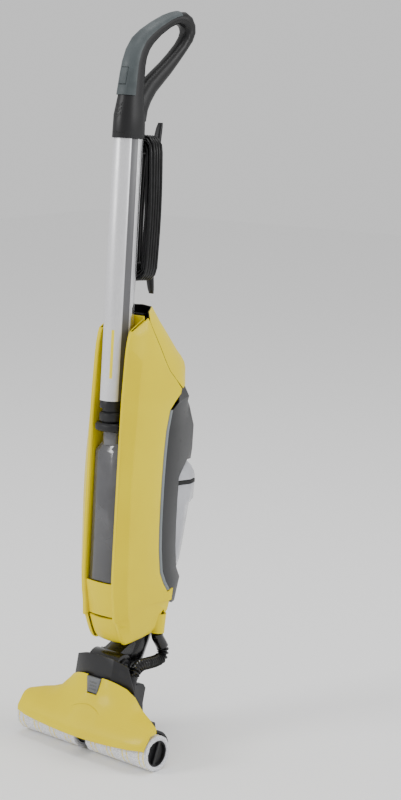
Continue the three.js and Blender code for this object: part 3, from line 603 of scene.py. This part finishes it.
YELLOW_LIGHT = (0.8, 0.635, 0.0, 1.0)
YELLOW_DEEP = (0.77, 0.6, 0.0, 1.0)
YELLOW = Plastic("yellow_shell", YELLOW_LIGHT, YELLOW_DEEP, 0.3, coat=0.05, specular=0.12)
YELLOW_COVER = Plastic(
    "yellow_cover", YELLOW_LIGHT, YELLOW_DEEP, 0.3, coat=0.05, specular=0.12, relief=cover_arc,
    relief_depth=0.0014,
)
BLACK = Plastic("black_plastic", rgba(15, 15, 16), rgba(21, 21, 23), 0.4, 1500.0, 0.00005)
SLEEVE_BLACK = Plastic(
    "sleeve_black", rgba(17, 17, 18), rgba(23, 23, 25), 0.42, relief=sleeve_marks, relief_depth=0.0011
)
GLOSS_BLACK = Plastic("gloss_black", rgba(10, 10, 11), rgba(17, 17, 18), 0.25, coat=0.3)
CHARCOAL = Plastic("charcoal_plastic", rgba(28, 28, 30), rgba(35, 35, 38), 0.36, 1200.0, 0.00005)
DOME_GREY = Plastic(
    "dome_grey", rgba(26, 27, 29), rgba(33, 34, 36), 0.34, coat=0.1, relief=dome_vents, relief_depth=0.0014
)
STRIP_GREY = Plastic("strip_grey", rgba(112, 119, 122), rgba(100, 107, 110), 0.4)
SOFT_GREY = Rubbery("soft_grip", rgba(72, 79, 81), rgba(63, 70, 72), 0.5)
LATCH_GREY = Plastic(
    "latch_grey", rgba(106, 108, 110), rgba(94, 96, 99), 0.45, relief=latch_ribs, relief_depth=0.0012
)
RUBBER = Rubbery("black_rubber", rgba(18, 18, 19), rgba(28, 28, 29), 0.7)
SMOKE = SeeThrough("smoke_tank", rgba(84, 84, 87), rgba(58, 58, 61), 0.16, 0.94, (0.28, 0.5))
CLEAR = SeeThrough("clear_tank", rgba(190, 191, 197), rgba(160, 161, 169), 0.1, 0.86, (0.26, 0.45))
TUBE_SILVER = TubeMetal("tube_silver", rgba(222, 222, 224), rgba(206, 206, 209))
STEEL = Metal("turned_steel", rgba(176, 178, 182), rgba(140, 142, 147), 0.28, (60.0, 2600.0, 2600.0))
BOARD = Plastic("green_board", rgba(30, 96, 56), rgba(24, 80, 46), 0.45)
PALE = Plastic("pale_plastic", rgba(214, 215, 217), rgba(200, 201, 204), 0.4)


class Paints:
    """Hands out one material for each finish."""

    _made: ClassVar[dict[str, bpy.types.Material]] = {}

    @classmethod
    def of(cls, finish: object) -> bpy.types.Material:
        """The finish's material, made on first use.

        Args:
            finish: a finish with a name and a material method.

        Returns:
            The material.
        """
        if finish.name not in cls._made:
            cls._made[finish.name] = finish.material()
        return cls._made[finish.name]


# ------------------------------------------------------------------ workshop
class Workshop:
    """The hand tools: adding, selecting, shaping and finishing meshes."""

    LEAN: ClassVar[float] = math.radians(5)

    @staticmethod
    def clear() -> None:
        """Leaves edit mode and deselects everything."""
        if bpy.context.object is not None and bpy.context.object.mode != "OBJECT":
            bpy.ops.object.mode_set(mode="OBJECT")
        bpy.ops.object.select_all(action="DESELECT")

    @classmethod
    def take(cls, *pieces: bpy.types.Object) -> None:
        """Selects pieces, the first of them active.

        Args:
            pieces: what to select.
        """
        cls.clear()
        for piece in pieces:
            piece.select_set(True)
        bpy.context.view_layer.objects.active = pieces[0]

    @classmethod
    def newest(cls, name: str) -> bpy.types.Object:
        """Names the piece that was just added.

        Args:
            name: its name.

        Returns:
            The piece.
        """
        piece = bpy.context.object
        piece.name = name
        piece.data.name = name
        return piece

    @classmethod
    def settle(cls, piece: bpy.types.Object) -> None:
        """Puts a piece's place, turn and scale into its mesh."""
        cls.take(piece)
        bpy.ops.object.transform_apply(location=True, rotation=True, scale=True)

    @classmethod
    def choose(
        cls, piece: bpy.types.Object, test: Callable[[Vector, Vector], bool]
    ) -> None:
        """Selects faces in edit mode by place and direction.

        Args:
            piece: the piece.
            test: says yes for a face's centre and normal.
        """
        cls.take(piece)
        bpy.ops.object.mode_set(mode="EDIT")
        bpy.ops.mesh.select_mode(type="FACE")
        bpy.ops.mesh.select_all(action="DESELECT")
        bpy.ops.object.mode_set(mode="OBJECT")
        for face in piece.data.polygons:
            face.select = test(face.center, face.normal)
        bpy.ops.object.mode_set(mode="EDIT")

    @classmethod
    def done(cls) -> None:
        """Leaves edit mode."""
        bpy.ops.object.mode_set(mode="OBJECT")

    @classmethod
    def modify(cls, piece: bpy.types.Object, kind: str, **settings: object) -> None:
        """Adds a modifier and applies it.

        Args:
            piece: the piece.
            kind: the modifier's type.
            settings: its settings.
        """
        cls.take(piece)
        modifier = piece.modifiers.new(kind.lower(), kind)
        for key, value in settings.items():
            setattr(modifier, key, value)
        bpy.ops.object.modifier_apply(modifier=modifier.name)

    @classmethod
    def soften(cls, piece: bpy.types.Object, width: float, angle: float = 32.0) -> None:
        """Rounds the sharp edges and smooths the rest.

        Args:
            piece: the piece.
            width: the rounding's width.
            angle: the sharpest edge, in degrees, that is left unrounded.
        """
        if width > 0:
            cls.modify(
                piece,
                "BEVEL",
                width=width,
                segments=2,
                limit_method="ANGLE",
                angle_limit=math.radians(angle),
                use_clamp_overlap=True,
            )
        cls.take(piece)
        bpy.ops.object.shade_smooth_by_angle(angle=math.radians(angle))

    @classmethod
    def paint(cls, piece: bpy.types.Object, finish: object) -> None:
        """Gives a piece one finish."""
        piece.data.materials.clear()
        piece.data.materials.append(Paints.of(finish))

    @classmethod
    def copy_of_node(cls, node: str, name: str) -> bpy.types.Object:
        """A merged copy of a node's mesh, its flat faces dissolved.

        Args:
            node: the node.
            name: the copy's name.

        Returns:
            The copy.
        """
        source = bpy.data.objects[node]
        piece = bpy.data.objects.new(name, source.data.copy())
        bpy.context.scene.collection.objects.link(piece)
        piece.data.name = name
        cls.take(piece)
        bpy.ops.object.mode_set(mode="EDIT")
        bpy.ops.mesh.select_all(action="SELECT")
        bpy.ops.mesh.remove_doubles(threshold=0.00002)
        bpy.ops.mesh.dissolve_limited(angle_limit=math.radians(0.6))
        bpy.ops.object.mode_set(mode="OBJECT")
        return piece


@dataclass
class SubAssembly:
    """What every sub-assembly shares: dressing nodes and registering new pieces."""

    foot: Vector

    def shell(
        self, node: str, body: Body, finish: object, rounding: float = 0.0006, angle: float = 32.0
    ) -> bpy.types.Object:
        """Stands a rounded, dressed copy in for a node.

        Args:
            node: the node that the copy replaces.
            body: the body that it rides on.
            finish: its finish.
            rounding: width of the rounded edges.
            angle: the sharpest edge left unrounded, in degrees.

        Returns:
            The copy.
        """
        piece = Workshop.copy_of_node(node, node + "_shown")
        Workshop.soften(piece, rounding, angle)
        Workshop.paint(piece, finish)
        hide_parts(node)
        return self.place(piece, body)

    def place(self, piece: bpy.types.Object, body: Body) -> bpy.types.Object:
        """Lets a piece ride on a body and reports it."""
        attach(piece, body.value)
        LOG.info("%s rides on %s", piece.name, body.value)
        return piece

    def dress(self, finish: object, *nodes: str) -> None:
        """Gives plain nodes their finish.

        Args:
            finish: the finish.
            nodes: the nodes that keep their own mesh.
        """
        for node in nodes:
            piece = bpy.data.objects[node]
            piece.data.materials.clear()
            piece.data.materials.append(Paints.of(finish))
            Workshop.take(piece)
            bpy.ops.object.shade_smooth_by_angle(angle=math.radians(32))
            LOG.info("%s keeps its mesh", node)

    def upright_point(self, x: float, y: float, z: float) -> Vector:
        """A point of the upright's own frame in the row frame."""
        return self.foot + Matrix.Rotation(-Workshop.LEAN, 4, "X") @ Vector((x, y, z))


# ------------------------------------------------------------------ mains cord
@dataclass
class MainsCord(SubAssembly):
    """The cord from its gland, wound on the two hooks, to the plug beside the winding."""

    diameter: float = 0.0057
    first_radius: float = 0.0105
    layer_step: float = 0.0058
    column_step: float = 0.0058
    first_depth: float = 0.0321
    turns_per_layer: float = 4.364
    layers: int = 3
    ramp: float = 0.38
    low_centre: float = 0.731
    high_centre: float = 0.921
    start_height: float = 0.822
    belly: float = 0.003

    def swell(self, along: float) -> float:
        """How far a straight side bellies out at a distance from its end."""
        return self.belly * math.sin(math.pi * along / (self.high_centre - self.low_centre))

    def outline_point(self, travelled: float, radius: float) -> tuple[float, float]:
        """A point on the winding's outline.

        Args:
            travelled: turns made since the start, on the left side going up.
            radius: radius of the round ends.

        Returns:
            Its x and z in the upright's frame.
        """
        straight = self.high_centre - self.low_centre
        bend = math.pi * radius
        whole = 2 * (straight + bend)
        start = self.start_height - self.low_centre
        along = (start + (travelled % 1.0) * whole) % whole
        if along < straight:
            return -radius - self.swell(along), self.low_centre + along
        along -= straight
        if along < bend:
            angle = math.pi - along / radius
            return radius * math.cos(angle), self.high_centre + radius * math.sin(angle)
        along -= bend
        if along < straight:
            return radius + self.swell(along), self.high_centre - along
        angle = -(along - straight) / radius
        return radius * math.cos(angle), self.low_centre + radius * math.sin(angle)

    def winding(self) -> list[Vector]:
        """The winding's points, layer on layer.

        Returns:
            Points in the upright's frame.
        """
        points = []
        stretch = self.turns_per_layer + self.ramp
        total = self.layers * self.turns_per_layer + (self.layers - 1) * self.ramp
        count = int(total * 44)
        for i in range(count + 1):
            turn = total * i / count
            layer = min(int(turn / stretch), self.layers - 1)
            inside = turn - layer * stretch
            share = min(inside / self.turns_per_layer, 1.0)
            climb = max(0.0, (inside - self.turns_per_layer) / self.ramp)
            depth_share = share if layer % 2 == 0 else 1 - share
            radius = self.first_radius + (layer + climb) * self.layer_step
            x, z = self.outline_point(turn, radius)
            width = self.turns_per_layer * self.column_step
            points.append(Vector((x, self.first_depth + depth_share * width, z)))
        return points

    def route(self) -> list[Vector]:
        """The whole cord's points in the row frame."""
        lead = [
            Vector((-0.014, 0.033, 0.6786)),
            Vector((-0.014, 0.0325, 0.683)),
            Vector((-0.014, 0.0308, 0.688)),
            Vector((-0.014, 0.0284, 0.693)),
            Vector((-0.014, 0.0265, 0.699)),
            Vector((-0.0138, 0.0258, 0.708)),
            Vector((-0.0136, 0.0257, 0.730)),
            Vector((-0.0135, 0.0257, 0.752)),
            Vector((-0.0135, 0.0258, 0.774)),
            Vector((-0.0135, 0.0272, 0.790)),
            Vector((-0.0135, 0.0303, 0.806)),
        ]
        wound = self.winding()
        end = wound[-1]
        plug_low, plug_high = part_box("mains_plug")
        back = Matrix.Rotation(Workshop.LEAN, 4, "X")
        middle = (plug_low + plug_high) / 2
        plug = back @ (Vector((middle.x, middle.y, plug_low.z)) - self.foot)
        before = wound[-2]
        heading = (end - before).normalized()
        tail = []
        first = end
        last = Vector((plug.x, 0.045, plug.z + 0.001))
        reach = (last - first).length * 0.45
        for i in range(1, 13):
            t = i / 12
            a = first + heading * reach * t * 1.2
            b = last - Vector((0, 0, 1)) * reach * (1 - t) * 1.2
            share = t * t * (3 - 2 * t)
            tail.append(a.lerp(b, share))
        points = lead + wound + tail
        return [self.upright_point(*p) for p in points]

    def build(self) -> bpy.types.Object:
        """Returns:
            The cord's curve.
        """
        points = self.route()
        curve = bpy.data.curves.new("mains_cord", "CURVE")
        curve.dimensions = "3D"
        spline = curve.splines.new("POLY")
        spline.points.add(len(points) - 1)
        for place, point in zip(spline.points, points):
            place.co = (*point, 1.0)
        curve.bevel_depth = self.diameter / 2
        curve.bevel_resolution = 3
        curve.use_fill_caps = True
        piece = bpy.data.objects.new("mains_cord", curve)
        bpy.context.scene.collection.objects.link(piece)
        curve.materials.append(Paints.of(Sheath("cord_jacket")))
        for spline in curve.splines:
            spline.use_smooth = True
        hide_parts("cord_hank", "cord_lead")
        self.place(piece, Body.UPRIGHT)
        return piece


# ------------------------------------------------------------------ head
@dataclass
class Head(SubAssembly):
    """Chassis, drive, yoke, rollers, cover and latch."""

    tuft_depth: float = 0.0011

    def build(self) -> None:
        """Builds and dresses the whole head."""
        self.shell("head_base", Body.HEAD, CHARCOAL, 0.0008)
        self.shell("neck_yoke", Body.HEAD, CHARCOAL, 0.0007, 20.0)
        self.shell("gearbox_housing", Body.HEAD, BLACK, 0.0006)
        self.dress(STEEL, "drive_motor", "hinge_pin", "left_roller_bearing", "right_roller_bearing")
        self.dress(STEEL, "roller_shaft", "motor_pinion")
        self.dress(PALE, "idler_gear")
        self.dress(RUBBER, "left_rear_glide", "right_rear_glide", "left_scraper", "right_scraper")
        self.build_cover()
        self.shell("cover_latch", Body.LATCH, LATCH_GREY, 0.0011)
        for side in Side:
            self.build_roller(side)

    def build_cover(self) -> None:
        """The yellow cover, its wide loft smoothed."""
        cover = Workshop.copy_of_node("roller_cover", "roller_cover_shown")
        Workshop.soften(cover, 0.0009, 38.0)
        Workshop.paint(cover, YELLOW_COVER)
        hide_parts("roller_cover")
        self.place(cover, Body.COVER)

    def build_roller(self, side: Side) -> None:
        """One roller: core, fluffy sleeve and end cap.

        Args:
            side: which roller.
        """
        body = Body.LEFT_ROLLER if side is Side.LEFT else Body.RIGHT_ROLLER
        self.dress(CHARCOAL, f"{side.word}_roller_core")
        self.shell(f"{side.word}_roller_end_cap", body, BLACK, 0.0005)
        node = f"{side.word}_roller_sleeve"
        low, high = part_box(node)
        centre = (low + high) / 2
        radius = (high.z - low.z) / 2 - self.tuft_depth * 0.5
        Workshop.clear()
        bpy.ops.mesh.primitive_cylinder_add(
            vertices=150,
            radius=radius,
            depth=high.x - low.x,
            location=centre,
            rotation=(0, math.pi / 2, 0),
            end_fill_type="NGON",
        )
        pile = Workshop.newest(node + "_shown")
        Workshop.settle(pile)
        Workshop.choose(pile, lambda c, n: abs(n.x) > 0.9)
        bpy.ops.mesh.inset(thickness=0.0022, use_even_offset=True)
        bpy.ops.mesh.inset(thickness=radius - 0.0022 - 0.0222, use_even_offset=True)
        bpy.ops.mesh.delete(type="FACE")
        Workshop.done()
        self.close_bore(pile, centre)
        self.fluff(pile)
        Workshop.paint(pile, Pile(f"{side.word}_pile", start=0.031))
        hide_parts(node)
        self.place(pile, body)

    @staticmethod
    def close_bore(pile: bpy.types.Object, centre: Vector) -> None:
        """Bridges the inner edges of the sleeve's two ends.

        Args:
            pile: the sleeve.
            centre: its middle.
        """
        Workshop.take(pile)
        bpy.ops.object.mode_set(mode="EDIT")
        bpy.ops.mesh.select_mode(type="EDGE")
        bpy.ops.mesh.select_all(action="DESELECT")
        bpy.ops.object.mode_set(mode="OBJECT")
        for vertex in pile.data.vertices:
            away = Vector((0, vertex.co.y - centre.y, vertex.co.z - centre.z)).length
            vertex.select = away < 0.0226
        for edge in pile.data.edges:
            ends = [pile.data.vertices[i] for i in edge.vertices]
            edge.select = all(v.select for v in ends)
        bpy.ops.object.mode_set(mode="EDIT")
        bpy.ops.mesh.bridge_edge_loops()
        bpy.ops.mesh.select_all(action="SELECT")
        bpy.ops.mesh.normals_make_consistent(inside=False)
        bpy.ops.object.mode_set(mode="OBJECT")

    def fluff(self, pile: bpy.types.Object) -> None:
        """Cuts the sleeve into fine rows and raises uneven tufts."""
        Workshop.take(pile)
        low = min(v.co.x for v in pile.data.vertices)
        high = max(v.co.x for v in pile.data.vertices)
        bpy.ops.object.mode_set(mode="EDIT")
        count = 46
        for i in range(1, count):
            bpy.ops.mesh.select_all(action="SELECT")
            place = low + (high - low) * i / count
            bpy.ops.mesh.bisect(plane_co=(place, 0, 0), plane_no=(1, 0, 0))
        bpy.ops.object.mode_set(mode="OBJECT")
        tufts = bpy.data.textures.get("tufts") or bpy.data.textures.new("tufts", "CLOUDS")
        tufts.noise_scale = 0.0042
        tufts.noise_depth = 3
        Workshop.modify(
            pile, "DISPLACE", texture=tufts, strength=self.tuft_depth * 1.9, mid_level=0.55,
            texture_coords="GLOBAL",
        )
        bpy.ops.object.shade_smooth()


# ------------------------------------------------------------------ neck and hoses
@dataclass
class Neck(SubAssembly):
    """The tilting neck with its corrugated hoses."""

    ridge: float = 0.0106
    valley: float = 0.0071
    pitch: float = 0.0058

    def build(self) -> None:
        """Builds the neck and the four hose lengths."""
        self.shell("neck", Body.NECK, GLOSS_BLACK, 0.0008)
        for side in Side:
            self.build_hose(side, False)
            self.build_hose(side, True)

    def build_hose(self, side: Side, upper: bool) -> None:
        """One corrugated length of hose.

        Args:
            side: which side.
            upper: whether it is the length under the housing.
        """
        origin = self.foot - Vector((0, 0.02, 0.08))
        if upper:
            knots = [(44.8, 88.3, 137), (41, 115, 134), (39.5, 131, 137), (38.5, 135, 152),
                     (37, 124.6, 172), (37, 122.9, 180.4)]
            node, ends = f"{side.word}_upper_hose", (Body.NECK, Body.UPRIGHT)
        else:
            knots = [(53, 45, 126.5), (52.7, 48, 130.5), (50.8, 57, 136.5), (47.5, 72, 139),
                     (45, 87, 137.2)]
            node, ends = f"{side.word}_lower_hose", (Body.HEAD, Body.NECK)
        places = [origin + Vector((side.value * x, y, z)) / 1000 for x, y, z in knots]
        line = self.smooth_line(places)
        length = sum((b - a).length for a, b in zip(line, line[1:]))
        count = max(8, round(length / self.pitch))
        samples = self.spaced(line, 6 * count)
        curve = bpy.data.curves.new(node + "_shown", "CURVE")
        curve.dimensions = "3D"
        curve.bevel_depth = self.ridge
        curve.bevel_resolution = 7
        curve.use_fill_caps = True
        spline = curve.splines.new("POLY")
        spline.points.add(len(samples) - 1)
        plain = 0.027 if upper else 0.0
        for i, (place, point) in enumerate(zip(spline.points, samples)):
            place.co = (*point, 1.0)
            left = length * (1 - i / (len(samples) - 1))
            wave = (1 + math.cos(2 * math.pi * i / 6)) / 2
            ribbed = 1 - (1 - self.valley / self.ridge) * (1 - wave) ** 1.4
            place.radius = 0.97 if left < plain else ribbed
        piece = bpy.data.objects.new(node + "_shown", curve)
        bpy.context.scene.collection.objects.link(piece)
        Workshop.take(piece)
        bpy.ops.object.convert(target="MESH")
        piece = Workshop.newest(node + "_shown")
        bpy.ops.object.shade_smooth_by_angle(angle=math.radians(24))
        Workshop.paint(piece, GLOSS_BLACK)
        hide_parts(node)
        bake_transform(piece)
        LOG.info("%s bends between %s and %s", piece.name, ends[0].value, ends[1].value)

    @staticmethod
    def smooth_line(places: Sequence[Vector]) -> list[Vector]:
        """A fine smooth line through a few places.

        Args:
            places: the places.

        Returns:
            Points along it.
        """
        line = []
        padded = [2 * places[0] - places[1], *places, 2 * places[-1] - places[-2]]
        for a, b, c, d in zip(padded, padded[1:], padded[2:], padded[3:]):
            for i in range(24):
                t = i / 24
                line.append(0.5 * (2 * b + (c - a) * t + (2 * a - 5 * b + 4 * c - d) * t * t
                                   + (3 * b - a - 3 * c + d) * t * t * t))
        return [*line, places[-1]]

    @staticmethod
    def spaced(line: Sequence[Vector], count: int) -> list[Vector]:
        """Points spaced evenly along a line.

        Args:
            line: the line.
            count: how many steps.

        Returns:
            The points.
        """
        lengths = [0.0]
        for a, b in zip(line, line[1:]):
            lengths.append(lengths[-1] + (b - a).length)
        points, k = [], 0
        for i in range(count + 1):
            wanted = lengths[-1] * i / count
            while k < len(line) - 2 and lengths[k + 1] < wanted:
                k += 1
            share = (wanted - lengths[k]) / max(lengths[k + 1] - lengths[k], 1e-9)
            points.append(line[k].lerp(line[k + 1], min(max(share, 0), 1)))
        return points


# ------------------------------------------------------------------ housing
@dataclass
class Housing(SubAssembly):
    """The yellow shells, the dark rear frame, the strips and the works inside."""

    def build(self) -> None:
        """Builds and dresses the housing."""
        self.shell("bottom_cover", Body.UPRIGHT, YELLOW, 0.0008, 22.0)
        housing = self.shell("main_housing", Body.UPRIGHT, YELLOW, 0.0008, 22.0)
        hood = self.shell("rear_top_cover", Body.UPRIGHT, YELLOW, 0.0008, 22.0)
        # painted shade: the inner walls round the tube and inside the hood's opening are painted black
        self.paint_shade_black(housing, lambda c, n: n.y < -0.8 and c.z > 0.66 and abs(c.x) < 0.0285 and c.y > -0.02)
        self.paint_shade_black(hood, lambda c, n: n.y < -0.2 or n.x * c.x < -0.3 * abs(c.x))
        self.shell("rear_frame", Body.UPRIGHT, DOME_GREY, 0.0008, 26.0)
        for side in Side:
            self.shell(f"{side.word}_side_strip", Body.UPRIGHT, STRIP_GREY, 0.0005)
        self.dress(BLACK, "hood_insert", "water_valve", "fan_shroud", "motor_mount")
        self.dress(STEEL, "suction_motor")
        self.dress(PALE, "suction_fan")
        self.dress(BOARD, "control_board")
        self.dress(RUBBER, "suction_duct", "cord_gland")

    @staticmethod
    def paint_shade_black(piece: bpy.types.Object, test: Callable[[Vector, Vector], bool]) -> None:
        """Paints the chosen faces of a shell black, as painted shade on its inner walls.

        Args:
            piece: the shell.
            test: says yes for a face's centre and normal.
        """
        piece.data.materials.append(Paints.of(BLACK))
        Workshop.choose(piece, test)
        piece.active_material_index = len(piece.data.materials) - 1
        bpy.ops.object.material_slot_assign()
        Workshop.done()


@dataclass
class Tanks(SubAssembly):
    """Both water tanks with their lids, seal, float and clamp."""

    def build(self) -> None:
        """Builds and dresses both tanks."""
        self.shell("dirty_water_tank", Body.DIRTY_TANK, SMOKE, 0.0012)
        self.shell("dirty_tank_lid", Body.DIRTY_TANK, BLACK, 0.0006)
        self.dress(PALE, "tank_float")
        self.dress(BLACK, "float_cage")
        self.shell("tank_lock", Body.CLAMP, BLACK, 0.0005)
        self.shell("fresh_water_tank", Body.FRESH_TANK, CLEAR, 0.0012)
        self.shell("fresh_tank_cap", Body.FRESH_TANK, CLEAR, 0.0012)
        self.shell("fresh_tank_seal", Body.FRESH_TANK, RUBBER, 0.0006)


@dataclass
class Handle(SubAssembly):
    """The oval tube, the loop handle, its switch and the cord hooks."""

    def build(self) -> None:
        """Builds and dresses the tube and the handle."""
        self.shell("main_tube", Body.UPRIGHT, TUBE_SILVER, 0.0004)
        self.shell("tube_socket", Body.UPRIGHT, BLACK, 0.0006)
        self.shell("handle_body", Body.UPRIGHT, SLEEVE_BLACK, 0.0006)
        self.shell("handle_grip", Body.UPRIGHT, SOFT_GREY, 0.0006)
        self.shell("power_switch", Body.SWITCH, SOFT_GREY, 0.0012)
        self.shell("upper_cord_hook", Body.SWIVEL_HOOK, BLACK, 0.0008)
        self.shell("lower_cord_hook", Body.UPRIGHT, BLACK, 0.0008)
        self.dress(BLACK, "mains_plug")


# ------------------------------------------------------------------ studio
@dataclass
class Studio:
    """Camera, soft lights and the pale floor."""

    distance: float = 2.94576
    height: float = 1.17341
    azimuth: float = 45.0
    yaw: float = -3.56
    pitch: float = 11.08
    focal_share: float = 1847.09 / 800

    def build(self, centre_y: float) -> None:
        """Sets up the studio.

        Args:
            centre_y: where the rollers' axis lies along y.
        """
        self.set_camera(centre_y)
        self.set_floor()
        self.set_lights()

    def set_camera(self, centre_y: float) -> None:
        """Places the camera that looks along the machine's front right corner."""
        data = bpy.data.cameras.new("studio_camera")
        camera = bpy.data.objects.new("studio_camera", data)
        bpy.context.scene.collection.objects.link(camera)
        angle = math.radians(self.azimuth)
        camera.location = (
            self.distance * math.sin(angle),
            centre_y - self.distance * math.cos(angle),
            self.height,
        )
        turn = math.radians(self.azimuth + self.yaw)
        camera.rotation_euler = Euler((math.radians(90 - self.pitch), 0, turn), "XYZ")
        data.sensor_fit = "VERTICAL"
        data.sensor_height = 36
        data.lens = 36 * self.focal_share
        data.dof.use_dof = False
        bpy.context.scene.camera = camera

    @staticmethod
    def set_floor() -> None:
        """A wide pale floor."""
        Workshop.clear()
        bpy.ops.mesh.primitive_plane_add(size=14, location=(0, 0, -0.0002))
        floor = Workshop.newest("studio_floor")
        g = Graph("floor_paper")
        where, _x, _y, _z = g.place()
        fine = g.noise(where, 300.0, 2.0)
        floor.data.materials.append(
            g.surface(Base_Color=g.mix(fine, rgba(250, 250, 250), rgba(247, 247, 247)), Roughness=0.9)
        )

    @staticmethod
    def set_lights() -> None:
        """A bright even room and three large soft lamps."""
        world = bpy.data.worlds.new("studio_room")
        bpy.context.scene.world = world
        world.use_nodes = True
        world.node_tree.nodes["Background"].inputs[0].default_value = (1, 1, 1, 1)
        world.node_tree.nodes["Background"].inputs[1].default_value = 0.8
        lamps = (
            ("front_lamp", (-1.9, -3.4, 2.2), 78.0, 1.3),
            ("side_lamp", (3.4, 1.6, 2.0), 62.0, 1.3),
            ("top_lamp", (0.2, 0.3, 3.6), 40.0, 1.6),
        )
        for name, place, power, size in lamps:
            data = bpy.data.lights.new(name, "AREA")
            data.energy = power
            data.size = size
            lamp = bpy.data.objects.new(name, data)
            bpy.context.scene.collection.objects.link(lamp)
            lamp.location = place
            aim = Vector((0, 0, 0.6)) - Vector(place)
            lamp.rotation_euler = aim.to_track_quat("-Z", "Y").to_euler()


def main() -> None:
    """Builds everything in order."""
    logging.basicConfig(level=logging.INFO, format="%(name)s: %(message)s")
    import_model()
    low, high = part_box("left_roller_core")
    axis_y = (low.y + high.y) / 2
    foot = Vector((0, axis_y + 0.02, 0.08))
    Studio().build(axis_y)
    MainsCord(foot).build()
    Head(foot).build()
    Neck(foot).build()
    Housing(foot).build()
    Tanks(foot).build()
    Handle(foot).build()


if __name__ == "__main__":
    main()
